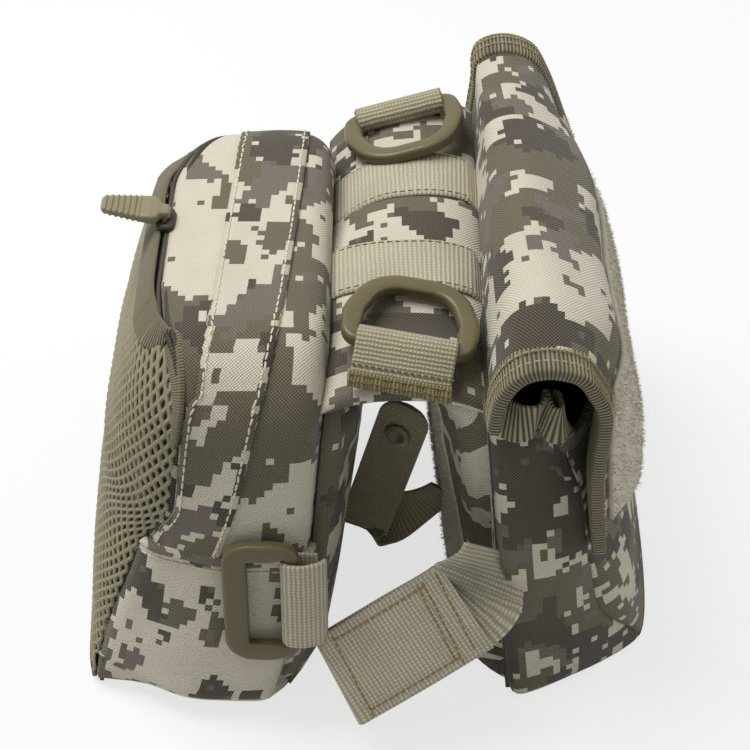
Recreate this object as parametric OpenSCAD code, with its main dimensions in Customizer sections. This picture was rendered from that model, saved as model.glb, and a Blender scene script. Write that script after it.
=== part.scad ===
// Twin-pouch saddle pack: a padded bridge carries a zipped pouch on the left and a
// flap-top pouch on the right. X runs across the pack, Y away from the viewer, Z up.
// All sizes are in millimetres.

/* [Pouches] */
// height of the zipped pouch
zip_h = 160; // [150:1:176]
// half length of the zipped pouch along its top
zip_half_top = 83; // [76:1:92]
// half length of the zipped pouch along its base
zip_half_base = 113; // [104:1:122]
// how far the zipped pouch sits toward the viewer
zip_forward = 11; // [0:1:16]
// height of the flap pouch at its mouth
flap_pouch_h = 142; // [132:1:144]
// half length of the flap pouch along its mouth
flap_half_top = 92; // [84:1:96]
// half length of the flap pouch along its base
flap_half_base = 120; // [108:1:126]
// depth of the zipped pouch from back panel to zipped front
zip_depth = 68; // [58:1:76]
// depth of the flap pouch at its mouth
flap_depth_top = 44; // [40:1:52]
// depth of the flap pouch at its base
flap_depth_base = 57; // [54:1:66]
// how far each pouch foot stands outside its own top
splay = 14; // [10:1:20]
// thickness of the sewn fabric walls
wall_t = 2.4; // [1.6:0.2:3.2]
// how far the padded back of the zipped pouch swells into the saddle gap
zip_pad_swell = 15; // [8:1:16]
// how far the padded back of the flap pouch swells into the saddle gap
flap_pad_swell = 18; // [8:1:19]

/* [Bridge] */
// width of the padded bridge between the two seams
bridge_w = 58; // [52:1:70]
// half length of the bridge along Y
bridge_half = 88; // [84:1:94]
// height of the seams that the pouches hang from
seam_z = 146.5; // [145:0.5:150]
// how far the bridge rises above its seams
bridge_rise = 6; // [3:0.5:7]
// thickness of the bridge foam
bridge_foam_t = 4; // [3:0.5:6]
// width of the webbing strips sewn across the bridge
strip_w = 28; // [20:1:32]
// thickness of the webbing
web_t = 1.6; // [1.2:0.1:2]

/* [Rings and buckle] */
// outside width of each D-ring
ring_w = 51; // [48:1:54]
// outside length of each D-ring
ring_l = 40; // [36:1:42]
// thickness of the moulded ring
ring_d = 5.6; // [5:0.2:6]
// width of the webbing that holds each ring
tab_w = 37; // [34:1:38]
// distance of each ring pivot from the middle of the bridge
ring_pivot_y = 75; // [70:1:78]
// length of the strap slot in the loop buckle
slot_l = 40; // [38:1:44]
// outside width of the loop buckle
buckle_w = 32; // [28:1:36]

/* [Flap] */
// height of the flap crest
crest_z = 180; // [176:1:186]
// half length of the flap
flap_half = 100; // [98:1:106]
// height of the lower edge of the flap
flap_hem_z = 76; // [66:1:88]
// thickness of the flap
flap_t = 2.6; // [2:0.2:3.2]

/* [Zip and mesh] */
// depth of the mesh pocket at its fullest
mesh_depth = 13; // [10:1:16]
// spacing of the holes in the mesh
mesh_pitch = 11; // [10:0.5:14]
// length of the zip pull
pull_l = 26; // [20:1:30]
// place of the zip slider along the top
slider_y = 6; // [-30:1:30]

/* [Straps] */
// width of the cinch strap
cinch_w = 40; // [34:1:44]
// width of the snap strap
snap_w = 24; // [20:1:26]

/* [Hidden] */
// gap left between pieces that move against each other
fit = 0.3;
// thickness of hems, tapes and patches
tape_t = 1.2;
// thickness of the pouch back lining and of its foam
lining_t = 0.8;
back_foam_t = 3;
back_t = tape_t + back_foam_t + lining_t;
// steps in each rounded corner
corner_steps = 5;
// long enough to pass through the whole pack
through = 400;
// brings the middle of the pack, measured at these sizes, over the origin
centre_shift = [0.876, 12.086, 0];

// the seam lines of the bridge
left_seam_x = -18;
right_seam_x = left_seam_x + bridge_w;

// back and front of the zipped pouch at height z
function zip_back(z) = left_seam_x - fit - splay * (seam_z - z) / seam_z;
function zip_front(z) = zip_back(z) - zip_depth;
// back and front of the flap pouch at height z
function flap_back(z) = right_seam_x + fit + splay * (seam_z - z) / seam_z;
function flap_front(z) = flap_back(z) + flap_depth_base
    - (flap_depth_base - flap_depth_top) * z / flap_pouch_h;

// outline tools
function unit(v) = v / norm(v);
function left_normal(v) = unit([-v[1], v[0]]);
function turn(a) = a > 180 ? a - 360 : a < -180 ? a + 360 : a;
function inset_corners(p, d) = [
    for (i = [0 : len(p) - 1])
        let (
            n1 = left_normal(p[i] - p[(i + len(p) - 1) % len(p)]),
            n2 = left_normal(p[(i + 1) % len(p)] - p[i])
        )
        p[i] + d * (n1 + n2) / (1 + n1 * n2)
];
function corner_arc(a, b, c, r) =
    let (
        u = unit(a - b),
        v = unit(c - b),
        half = acos(u * v) / 2,
        mid = b + unit(u + v) * r / sin(half),
        s = b + u * r / tan(half) - mid,
        e = b + v * r / tan(half) - mid,
        a0 = atan2(s[1], s[0]),
        da = turn(atan2(e[1], e[0]) - a0)
    )
    [
        for (k = [0 : corner_steps])
            let (a = a0 + da * k / corner_steps)
            mid + r * [cos(a), sin(a)]
    ];
function rounded(p, r) = [
    for (i = [0 : len(p) - 1])
        each corner_arc(p[(i + len(p) - 1) % len(p)], p[i], p[(i + 1) % len(p)], r[i])
];
function inset_outline(p, r, d) = rounded(inset_corners(p, d), [for (k = r) max(k - d, 0.5)]);
// a band of even thickness below a line of points
function line_normal(p, i) = left_normal(p[min(i + 1, len(p) - 1)] - p[max(i - 1, 0)]);
function band(p, t) = concat(p, [for (i = [len(p) - 1 : -1 : 0]) p[i] - t * line_normal(p, i)]);
function shifted(p, t) = [for (i = [0 : len(p) - 1]) p[i] + t * line_normal(p, i)];
function part_of(p, a, b) = [for (i = [a : b]) p[i]];
// points of a quarter-ellipse-like curve from a to b that leaves a along the line to c
function curve(a, c, b, n) = [
    for (i = [0 : n])
        let (t = i / n)
        (1 - t) * (1 - t) * a + 2 * t * (1 - t) * c + t * t * b
];

module along_y(y0, y1)
    translate([0, y1, 0])
        rotate([90, 0, 0])
            linear_extrude(y1 - y0)
                children();

module along_x(x0, x1)
    translate([x0, 0, 0])
        rotate([90, 0, 90])
            linear_extrude(x1 - x0)
                children();

// everything between two heights
module between(z0, z1)
    translate([-through / 2, -through / 2, z0])
        cube([through, through, z1 - z0]);

// a solid strap through a row of centres, with the direction across it at each one
module ribbon(centres, across, w, t) {
    n = len(centres);
    lie = [
        for (i = [0 : n - 1])
            unit(cross(centres[min(i + 1, n - 1)] - centres[max(i - 1, 0)], across[i]))
    ];
    points = [
        for (i = [0 : n - 1])
            each [
                centres[i] - across[i] * w / 2 - lie[i] * t / 2,
                centres[i] + across[i] * w / 2 - lie[i] * t / 2,
                centres[i] + across[i] * w / 2 + lie[i] * t / 2,
                centres[i] - across[i] * w / 2 + lie[i] * t / 2
            ]
    ];
    sides = [
        for (i = [0 : n - 2])
            for (k = [0 : 3])
                each [
                    [4 * i + k, 4 * i + (k + 1) % 4, 4 * i + 4 + (k + 1) % 4],
                    [4 * i + k, 4 * i + 4 + (k + 1) % 4, 4 * i + 4 + k]
                ]
    ];
    last = 4 * (n - 1);
    ends = [[3, 2, 1], [3, 1, 0], [last, last + 1, last + 2], [last, last + 2, last + 3]];
    polyhedron(points, concat(sides, ends), convexity = 6);
}

// The zipped pouch

zip_floor = tape_t;
zip_face = [
    [-zip_half_base, zip_floor],
    [zip_half_base, zip_floor],
    [zip_half_top, zip_h],
    [-zip_half_top, zip_h]
];
zip_face_r = [18, 18, 30, 30];
zip_shoulder = 12;
zip_side = [
    [zip_front(zip_floor), zip_floor],
    [zip_back(zip_floor), zip_floor],
    [zip_back(seam_z), seam_z],
    [zip_back(seam_z) - zip_shoulder, zip_h],
    [zip_front(zip_h), zip_h]
];
zip_side_r = [1, 3, 2, 10, 1];
// the zip runs over the top and down both ends to this height
zip_end_z = 72;
// the storm band lies between these distances from the back of the pouch
band_near = 23;
band_far = 46;
// depth of the zip opening, and the width of each coil
zip_gap = 6;
coil_w = 2;
panel_t = 3;

// the zipped pouch is drawn about its own middle and set toward the viewer
module zip_place()
    translate([0, -zip_forward, 0])
        children();

module zip_body(d)
    intersection() {
        along_y(-through / 2, through / 2)
            polygon(inset_outline(zip_side, zip_side_r, d));
        along_x(-through / 2, through / 2)
            polygon(inset_outline(zip_face, zip_face_r, d));
    }

// the pouch outline carried straight through, inset by d
module zip_face_prism(d)
    along_x(-through / 2, 0)
        polygon(inset_outline(zip_face, zip_face_r, d));

// a leaning slice of the zipped pouch between two distances from its back
module zip_slice(a, b, z0 = 0, z1 = 200)
    along_y(-through / 2, through / 2)
        polygon([
            [zip_back(z0) - b, z0],
            [zip_back(z0) - a, z0],
            [zip_back(z1) - a, z1],
            [zip_back(z1) - b, z1]
        ]);

module left_back_layer(a, b)
    intersection() {
        zip_slice(a, b, zip_floor, seam_z);
        zip_face_prism(0);
    }

module left_back_cover()
    color([0.23, 0.22, 0.19])
        zip_place()
        left_back_layer(0, tape_t);

module left_back_foam()
    color([0.5, 0.5, 0.48])
        zip_place()
        left_back_layer(tape_t, tape_t + back_foam_t);

module left_back_lining()
    color([0.3, 0.29, 0.25])
        zip_place()
        left_back_layer(tape_t + back_foam_t, back_t);

// padded backs swell into the saddle gap
pad_low = 14;
pad_high = 138;
pad_half = 84;
pad_slope = 10;
// the zipped pouch's pad is thinner at its foot
zip_pad_thin = 4;

module left_back_pad()
    color([0.17, 0.17, 0.16])
        zip_place()
        intersection() {
            along_y(-pad_half, pad_half)
                polygon([
                    [zip_back(pad_low), pad_low],
                    [zip_back(pad_low + pad_slope) + zip_pad_swell - zip_pad_thin, pad_low + pad_slope],
                    [zip_back(pad_high - pad_slope) + zip_pad_swell, pad_high - pad_slope],
                    [zip_back(pad_high), pad_high]
                ]);
            between(pad_low, pad_high);
        }

module left_gusset()
    color([0.62, 0.56, 0.43])
        zip_place()
        difference() {
            zip_body(0);
            zip_body(wall_t);
            zip_slice(-1, back_t, -1, seam_z);
            intersection() {
                zip_slice(zip_depth - zip_gap, zip_depth + 60);
                between(zip_end_z, 200);
            }
            zip_slice(zip_depth - fit, zip_depth + 60);
            // clears the hollow that the inset body leaves at the front
            intersection() {
                zip_slice(zip_depth - zip_gap - wall_t - 1, zip_depth + 60);
                zip_face_prism(wall_t);
            }
            // and the one behind the back panel
            intersection() {
                zip_slice(-1, back_t + wall_t + 1, -1, seam_z - zip_shoulder);
                zip_face_prism(wall_t);
            }
        }

module zip_tape_on_gusset(t, a, b, z0, z1)
    intersection() {
        difference() {
            zip_body(-t);
            zip_body(0);
        }
        zip_slice(a, b);
        between(z0, z1);
    }

module storm_band()
    color([0.64, 0.58, 0.45])
        zip_place()
        zip_tape_on_gusset(tape_t, band_near, band_far, zip_end_z + fit, 200);

module left_base_patch()
    color([0.58, 0.52, 0.4])
        zip_place()
        zip_tape_on_gusset(tape_t, back_t, zip_depth - zip_gap, -5, zip_end_z);

module zip_coil(a)
    intersection() {
        difference() {
            zip_face_prism(0.5);
            zip_face_prism(2.5);
        }
        zip_slice(a, a + coil_w);
        between(zip_end_z, 200);
    }

module zip_coil_fixed()
    color([0.12, 0.12, 0.11])
        zip_place()
        zip_coil(zip_depth - zip_gap);

module zip_coil_front()
    color([0.12, 0.12, 0.11])
        zip_place()
        zip_coil(zip_depth - coil_w);

module left_front_panel()
    color([0.6, 0.54, 0.42])
        zip_place()
        intersection() {
            zip_slice(zip_depth, zip_depth + panel_t);
            zip_face_prism(0);
        }

// the mesh pocket rides on the zipped front
pocket_full_z = 34;
pocket_foot_z = 8;
pocket_mouth_mid = 148;
pocket_mouth_end = 132;
pocket_mouth_depth = 10;
mesh_t = 1.6;
binding_h = 13;
pocket_side_top = pocket_mouth_end - binding_h - 3;
// height of the sewn lip that carries the foot of the sheet
pocket_lip = 3.6;
pocket_half = zip_half_top - 2;
pocket_half_base = zip_half_base - 6;
mesh_lean = atan2(
    zip_front(pocket_mouth_mid) - zip_front(pocket_full_z) + mesh_depth - pocket_mouth_depth,
    pocket_mouth_mid - pocket_full_z
);
mesh_rise = (pocket_mouth_mid - pocket_full_z) / cos(mesh_lean);

// a distance in front of the zipped panel, at height z
function pocket_front(z, off) = zip_front(z) - panel_t - off;
// the end of the pocket at height z
function pocket_edge(z) = pocket_half_base
    - (pocket_half_base - pocket_half) * (z - pocket_full_z) / (pocket_mouth_end - pocket_full_z);

// the height of the arched mouth at y, measured up the leaning sheet
function mouth(y, low = 0) = mesh_rise - low
    - (pocket_mouth_mid - pocket_mouth_end) * pow(y / pocket_half, 2);

mouth_steps = 12;
function mouth_line(low, half) = [
    for (i = [0 : mouth_steps])
        let (y = half - 2 * half * i / mouth_steps)
        [y, mouth(y, low)]
];

// the plane of the mesh sheet, with its foot at the fullest height
module on_mesh_sheet()
    translate([pocket_front(pocket_full_z, mesh_depth), 0, pocket_full_z])
        rotate([0, mesh_lean, 0])
            children();

module mesh_panel()
    color([0.35, 0.34, 0.25])
        zip_place()
        on_mesh_sheet()
            along_x(0, mesh_t)
                difference() {
                    polygon(concat(
                        [[-pocket_half_base, 0], [pocket_half_base, 0]],
                        mouth_line(1, pocket_half)
                    ));
                    for (row = [1 : floor(mesh_rise / mesh_pitch)])
                        for (col = [-9 : 9]) {
                            y = (col + (row % 2) / 2) * mesh_pitch;
                            z = row * mesh_pitch * 0.87;
                            if (abs(y) < pocket_half - 5 && z < mouth(y, binding_h + 6))
                                translate([y, z])
                                    circle(r = mesh_pitch * 0.36, $fn = 6);
                        }
                }

module mesh_gusset()
    color([0.32, 0.31, 0.23])
        zip_place()
        difference() {
            intersection() {
                along_y(-through / 2, through / 2)
                    polygon([
                        [pocket_front(pocket_foot_z, 0), pocket_foot_z],
                        [pocket_front(pocket_mouth_mid, 0), pocket_mouth_mid],
                        [pocket_front(pocket_mouth_mid, pocket_mouth_depth - mesh_t), pocket_mouth_mid],
                        [pocket_front(pocket_full_z, mesh_depth - mesh_t), pocket_full_z],
                        [pocket_front(pocket_full_z, mesh_depth), pocket_full_z]
                    ]);
                along_x(-through / 2, 0)
                    polygon([
                        [-pocket_half_base, 0],
                        [pocket_half_base, 0],
                        [pocket_half_base, pocket_full_z],
                        [pocket_edge(pocket_side_top), pocket_side_top],
                        [-pocket_edge(pocket_side_top), pocket_side_top],
                        [-pocket_half_base, pocket_full_z]
                    ]);
            }
            intersection() {
                along_y(-through / 2, through / 2)
                    polygon([
                        [pocket_front(pocket_foot_z, -1), pocket_foot_z + pocket_lip],
                        [pocket_front(pocket_mouth_mid, -1), pocket_mouth_mid],
                        [pocket_front(pocket_mouth_mid, 4 * mesh_depth), pocket_mouth_mid],
                        [pocket_front(pocket_full_z, 4 * mesh_depth), pocket_full_z + 0.01],
                        [pocket_front(pocket_full_z, mesh_depth - mesh_t - 1), pocket_full_z]
                    ]);
                along_x(-through / 2, 0)
                    polygon([
                        [-pocket_half_base + mesh_t, 0],
                        [pocket_half_base - mesh_t, 0],
                        [pocket_half_base - mesh_t, pocket_full_z],
                        [pocket_half - mesh_t, pocket_mouth_end],
                        [-pocket_half + mesh_t, pocket_mouth_end],
                        [-pocket_half_base + mesh_t, pocket_full_z]
                    ]);
            }
            on_mesh_sheet()
                along_x(0, mesh_t)
                    translate([-through / 2, 0])
                        square(through);
        }

module mesh_binding()
    color([0.4, 0.38, 0.28])
        zip_place()
        on_mesh_sheet()
            difference() {
                along_x(-1, mesh_t + 1)
                    polygon(concat(
                        mouth_line(0, pocket_half),
                        [for (i = [mouth_steps : -1 : 0]) mouth_line(binding_h, pocket_half)[i]]
                    ));
                along_x(0, mesh_t)
                    polygon(concat(
                        [[-pocket_half - 1, 0], [pocket_half + 1, 0]],
                        mouth_line(1, pocket_half + 1)
                    ));
            }

// zip slider and its pull
slider_l = 12;
slider_w = 6.4;
slider_x = zip_front(zip_h) + zip_gap / 2;
slider_top = zip_h + fit + 0.1;
plate_t = 1.4;
// the stem between the coils, and the keel plate under them
stem_w = 1;
keel_w = 4.8;
keel_t = 1.2;
keel_z = zip_h - 4.2;
// how far joined pieces of one moulding run into each other
bite = 0.5;
eye_d = 5;
bail_d = 1.8;
bail_z = slider_top + plate_t + eye_d / 2 + fit;
bail_l = 8;
eye_hole_d = bail_d + 2 * fit;
eye_w = 4;
pull_w = 11;
pull_t = 4;
pull_tilt = 9;
// the neck between the eye and the grip, and the ridges across the grip
neck_l = 8;
neck_t = 2.4;
grip_start = 6.5;
ridge_pitch = 3.4;
ridge_w = 1.5;
ridge_rise = 0.5;
ridge_inset = 1.2;

module zip_slider()
    color([0.33, 0.32, 0.25])
        zip_place()
        translate([slider_x, slider_y, 0]) {
            translate([-slider_w / 2, -slider_l / 2, slider_top])
                cube([slider_w, slider_l, plate_t]);
            translate([-stem_w / 2, -slider_l / 2, keel_z])
                cube([stem_w, slider_l, slider_top - keel_z + bite]);
            translate([-keel_w / 2, -slider_l / 2, keel_z])
                cube([keel_w, slider_l, keel_t]);
            for (s = [-1, 1])
                translate([
                    -bail_d / 2,
                    s * (bail_l - bail_d) / 2 - bail_d / 2,
                    slider_top + plate_t - bite
                ])
                    cube([bail_d, bail_d, bail_z - slider_top - plate_t + bite + bail_d / 2]);
            translate([0, -bail_l / 2, bail_z])
                rotate([-90, 0, 0])
                    cylinder(d = bail_d, h = bail_l, $fn = 32);
        }

module zip_pull()
    color([0.42, 0.4, 0.27])
        zip_place()
        translate([slider_x, slider_y, bail_z])
            rotate([0, pull_tilt, 0])
                difference() {
                    union() {
                        translate([0, -eye_w / 2, 0])
                            rotate([-90, 0, 0])
                                cylinder(d = eye_d, h = eye_w, $fn = 32);
                        translate([-neck_l, -eye_w / 2, -neck_t / 2])
                            cube([neck_l - 1, eye_w, neck_t]);
                        translate([-pull_l + pull_w / 2, 0, -pull_t / 2])
                            cylinder(d = pull_w, h = pull_t, $fn = 48);
                        translate([-pull_l + pull_w / 2, -pull_w / 2, -pull_t / 2])
                            cube([pull_l - pull_w / 2 - grip_start, pull_w, pull_t]);
                        for (i = [0 : 3])
                            translate([
                                -pull_l + pull_w / 2 + i * ridge_pitch,
                                -pull_w / 2 + ridge_inset,
                                -pull_t / 2 - ridge_rise
                            ])
                                cube([ridge_w, pull_w - 2 * ridge_inset, pull_t + 2 * ridge_rise]);
                    }
                    translate([0, -eye_w / 2 - 1, 0])
                        rotate([-90, 0, 0])
                            cylinder(d = eye_hole_d, h = eye_w + 2, $fn = 32);
                }

// the loop buckle on the near end of the zipped pouch
wall_lean = atan2(zip_half_base - zip_half_top, zip_h - zip_floor);
buckle_z = 64;
buckle_d = 5;
buckle_off = buckle_d / 2 + fit + web_t + tape_t + 0.2;
buckle_x = zip_back(buckle_z) - 5;
// the outer rail, the two arms and the rounded outer corners
buckle_rail = 7;
buckle_arm = 6.5;
buckle_round = 3;
buckle_h = slot_l + 2 * buckle_arm;
buckle_t = 4.4;
buckle_web_w = slot_l - 2;
buckle_edge = -buckle_w + buckle_d / 2;

// local frame on the near end wall: Y comes out of the wall, Z runs up it
module on_near_wall()
    translate([buckle_x, -zip_half_base + (buckle_z - zip_floor) * tan(wall_lean), buckle_z])
        rotate([-wall_lean, 0, 0])
            translate([0, -buckle_off / cos(wall_lean), 0])
                children();

module loop_buckle()
    color([0.4, 0.38, 0.27])
        zip_place()
        on_near_wall()
            difference() {
                union() {
                    translate([buckle_edge, -buckle_t / 2, -buckle_h / 2 + buckle_round])
                        cube([buckle_rail, buckle_t, buckle_h - 2 * buckle_round]);
                    for (s = [-1, 1])
                        translate([
                            buckle_edge + buckle_round,
                            -buckle_t / 2,
                            s * (buckle_h - buckle_arm) / 2
                        ]) {
                            translate([0, 0, -buckle_arm / 2])
                                cube([buckle_w - buckle_round, buckle_t, buckle_arm]);
                            translate([0, 0, s * (buckle_arm / 2 - buckle_round)])
                                rotate([-90, 0, 0])
                                    cylinder(r = buckle_round, h = buckle_t, $fn = 40);
                        }
                    translate([0, 0, -slot_l / 2 - 1])
                        cylinder(d = buckle_d, h = slot_l + 2, $fn = 40);
                }
                translate([buckle_edge + buckle_rail, -buckle_t, -slot_l / 2])
                    cube([buckle_w - buckle_d - buckle_rail - bite, 2 * buckle_t, slot_l]);
            }

// the webbing that holds the buckle bar, sewn to the wall toward the back panel
loop_tail = 6;

module buckle_loop()
    color([0.52, 0.48, 0.35])
        zip_place()
        on_near_wall()
            translate([0, 0, -buckle_web_w / 2])
                linear_extrude(buckle_web_w)
                    difference() {
                        union() {
                            circle(r = buckle_d / 2 + fit + web_t, $fn = 48);
                            translate([0, buckle_d / 2 + fit])
                                square([loop_tail, web_t]);
                            translate([0, buckle_d / 2 + fit - web_t])
                                square([loop_tail, web_t]);
                        }
                        circle(r = buckle_d / 2 + fit, $fn = 48);
                    }

// The padded bridge

bridge_mid = (left_seam_x + right_seam_x) / 2;
bridge_top = seam_z + bridge_rise;
bridge_cover_t = 1.2;
bridge_lining_t = 1;
bridge_t = bridge_cover_t + bridge_foam_t + bridge_lining_t;
shoulder_w = 9;
shoulder_lean = 3;
bridge_line = concat(
    curve(
        [right_seam_x, seam_z],
        [right_seam_x - shoulder_lean, bridge_top],
        [right_seam_x - shoulder_w, bridge_top],
        5
    ),
    curve(
        [left_seam_x + shoulder_w, bridge_top],
        [left_seam_x + shoulder_lean, bridge_top],
        [left_seam_x, seam_z],
        5
    )
);

// a layer of the bridge between two depths below its top
module bridge_layer(a, b, half)
    intersection() {
        along_y(-half, half)
            polygon(concat(
                [for (p = bridge_line) p - [0, a]],
                [for (i = [len(bridge_line) - 1 : -1 : 0]) bridge_line[i] - [0, b]]
            ));
        translate([left_seam_x, -through / 2, 0])
            cube([bridge_w, through, through]);
    }

module bridge_cover()
    color([0.6, 0.54, 0.42])
        bridge_layer(0, bridge_cover_t, bridge_half);

module bridge_foam()
    color([0.5, 0.5, 0.48])
        bridge_layer(bridge_cover_t, bridge_cover_t + bridge_foam_t, bridge_half);

module bridge_lining()
    color([0.2, 0.2, 0.19])
        bridge_layer(bridge_cover_t + bridge_foam_t, bridge_t, bridge_half);

// tape round both open ends of the bridge
binding_t = 0.8;
binding_w = 9;
binding_inset = 2;

module bridge_binding()
    color([0.42, 0.39, 0.29])
        for (s = [0, 1])
            mirror([0, s, 0])
                difference() {
                    intersection() {
                        bridge_layer(-binding_t, bridge_t + binding_t, bridge_half + binding_t);
                        translate([left_seam_x + binding_inset, bridge_half - binding_w, 0])
                            cube([bridge_w - 2 * binding_inset, 2 * binding_w, through]);
                    }
                    bridge_layer(0, bridge_t, bridge_half);
                }

strip_pitch = 55;
strip_mid_y = 3;
strip_inset = 1.5;

module webbing_strip(y)
    intersection() {
        bridge_layer(-web_t, 0, bridge_half);
        translate([left_seam_x + strip_inset, y - strip_w / 2, 0])
            cube([bridge_w - 2 * strip_inset, strip_w, through]);
    }

module strip_front()
    color([0.53, 0.48, 0.35])
        webbing_strip(strip_mid_y - strip_pitch / 2);

module strip_rear()
    color([0.53, 0.48, 0.35])
        webbing_strip(strip_mid_y + strip_pitch / 2);

// D-rings on webbing tabs at both ends of the bridge
ring_r = ring_d / 2;
ring_pivot_z = bridge_top + web_t + ring_r + fit;
ring_reach = ring_l - ring_d;
ring_half = (ring_w - ring_d) / 2;
ring_foot_r = 4.5;
ring_head_r = 16;
ring_lift = 5;

module ring_tube(l)
    cylinder(r = ring_r, h = l, $fn = 40);

module ring_bend(r)
    rotate_extrude(angle = 90, $fn = 64)
        translate([r, 0])
            circle(r = ring_r, $fn = 40);

// lies along +Y from a bar on the X axis
module d_ring()
    union() {
        translate([-ring_half + ring_foot_r, 0, 0])
            rotate([0, 90, 0])
                ring_tube(2 * (ring_half - ring_foot_r));
        translate([-ring_half + ring_head_r, ring_reach, 0])
            rotate([0, 90, 0])
                ring_tube(2 * (ring_half - ring_head_r));
        for (s = [0, 1])
            mirror([s, 0, 0]) {
                translate([ring_half - ring_foot_r, ring_foot_r, 0])
                    rotate([0, 0, -90])
                        ring_bend(ring_foot_r);
                translate([ring_half, ring_foot_r, 0])
                    rotate([-90, 0, 0])
                        ring_tube(ring_reach - ring_foot_r - ring_head_r);
                translate([ring_half - ring_head_r, ring_reach - ring_head_r, 0])
                    ring_bend(ring_head_r);
            }
    }

module ring_front()
    color([0.42, 0.4, 0.28])
        translate([bridge_mid, -ring_pivot_y, ring_pivot_z])
            rotate([ring_lift, 0, 0])
                d_ring();

module ring_rear()
    color([0.42, 0.4, 0.28])
        translate([bridge_mid, ring_pivot_y, ring_pivot_z])
            rotate([0, 0, 180])
                rotate([ring_lift, 0, 0])
                    d_ring();

tab_tail = bridge_half - ring_pivot_y - 0.5;

// webbing folded round the ring bar, both tails sewn down toward the end of the bridge
module ring_tab()
    translate([bridge_mid - tab_w / 2, -ring_pivot_y, ring_pivot_z])
        rotate([90, 0, 90])
            linear_extrude(tab_w)
                difference() {
                    union() {
                        circle(r = ring_r + fit + web_t, $fn = 48);
                        translate([-tab_tail, -ring_r - fit - web_t])
                            square([tab_tail, 2 * web_t]);
                    }
                    circle(r = ring_r + fit, $fn = 48);
                }

module ring_tab_front()
    color([0.5, 0.46, 0.34])
        difference() {
            ring_tab();
            bridge_layer(-binding_t, bridge_t + binding_t, bridge_half + binding_t);
        }

module ring_tab_rear()
    color([0.5, 0.46, 0.34])
        mirror([0, 1, 0])
            difference() {
                ring_tab();
                bridge_layer(-binding_t, bridge_t + binding_t, bridge_half + binding_t);
            }

// The flap pouch

flap_face = [
    [-flap_half_base, 0],
    [flap_half_base, 0],
    [flap_half_top, flap_pouch_h],
    [-flap_half_top, flap_pouch_h]
];
flap_face_r = [9, 9, 0.6, 0.6];

module flap_face_prism(d)
    along_x(0, through / 2)
        polygon(inset_outline(flap_face, flap_face_r, d));

// a leaning slice of the flap pouch between distances from its back (a) or front (b)
module flap_back_slice(a, b, z0, z1)
    along_y(-through / 2, through / 2)
        polygon([
            [flap_back(z0) + a, z0],
            [flap_back(z0) + b, z0],
            [flap_back(z1) + b, z1],
            [flap_back(z1) + a, z1]
        ]);

module flap_front_slice(a, b, z0, z1)
    along_y(-through / 2, through / 2)
        polygon([
            [flap_front(z0) + a, z0],
            [flap_front(z0) + b, z0],
            [flap_front(z1) + b, z1],
            [flap_front(z1) + a, z1]
        ]);

// the back panel stands above the mouth, up to the seam
module right_back_layer(a, b)
    intersection() {
        flap_back_slice(a, b, 0, seam_z);
        along_x(0, through / 2)
            polygon(inset_outline(
                [
                    [-flap_half_base, 0],
                    [flap_half_base, 0],
                    [flap_half_top, seam_z],
                    [-flap_half_top, seam_z]
                ],
                flap_face_r, 0
            ));
    }

module right_back_cover()
    color([0.6, 0.54, 0.42])
        right_back_layer(0, tape_t);

module right_back_foam()
    color([0.5, 0.5, 0.48])
        right_back_layer(tape_t, tape_t + back_foam_t);

module right_back_lining()
    color([0.3, 0.29, 0.25])
        right_back_layer(tape_t + back_foam_t, back_t);

module right_back_pad()
    color([0.55, 0.5, 0.4])
        along_y(-pad_half, pad_half)
            polygon([
                [flap_back(pad_low), pad_low],
                [flap_back(pad_high), pad_high],
                [flap_back(pad_high - pad_slope) - flap_pad_swell, pad_high - pad_slope],
                [flap_back(pad_low + pad_slope) - flap_pad_swell, pad_low + pad_slope]
            ]);

module right_loop_field()
    color([0.42, 0.4, 0.33])
        intersection() {
            flap_back_slice(
                -flap_pad_swell - tape_t, -flap_pad_swell,
                pad_low + pad_slope, pad_high - pad_slope
            );
            translate([0, -pad_half + 8, 0])
                cube([through, 2 * pad_half - 16, through]);
        }

module right_gusset()
    color([0.62, 0.56, 0.43])
        difference() {
            intersection() {
                flap_face_prism(0);
                along_y(-through / 2, through / 2)
                    polygon([
                        [flap_back(0) + back_t, 0],
                        [flap_front(0) - wall_t, 0],
                        [flap_front(flap_pouch_h) - wall_t, flap_pouch_h],
                        [flap_back(flap_pouch_h) + back_t, flap_pouch_h]
                    ]);
            }
            along_x(0, through / 2)
                polygon(inset_outline(
                    [
                        flap_face[0],
                        flap_face[1],
                        [flap_half_top - 2, seam_z + 20],
                        [-flap_half_top + 2, seam_z + 20]
                    ],
                    flap_face_r, wall_t
                ));
        }

module right_front_panel()
    color([0.62, 0.56, 0.43])
        intersection() {
            flap_front_slice(-wall_t, 0, 0, flap_pouch_h);
            flap_face_prism(0);
        }

// hook and loop closure between the pouch front and the flap
closure_low = flap_hem_z + 7;
closure_high = flap_hem_z + 31;
closure_half = 84;

module front_loop_strip()
    color([0.42, 0.4, 0.33])
        intersection() {
            flap_front_slice(0, tape_t, closure_low, closure_high);
            translate([0, -closure_half, 0])
                cube([through, 2 * closure_half, through]);
        }

mouth_tape_h = 11;
mouth_tape_t = 0.8;

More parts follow.
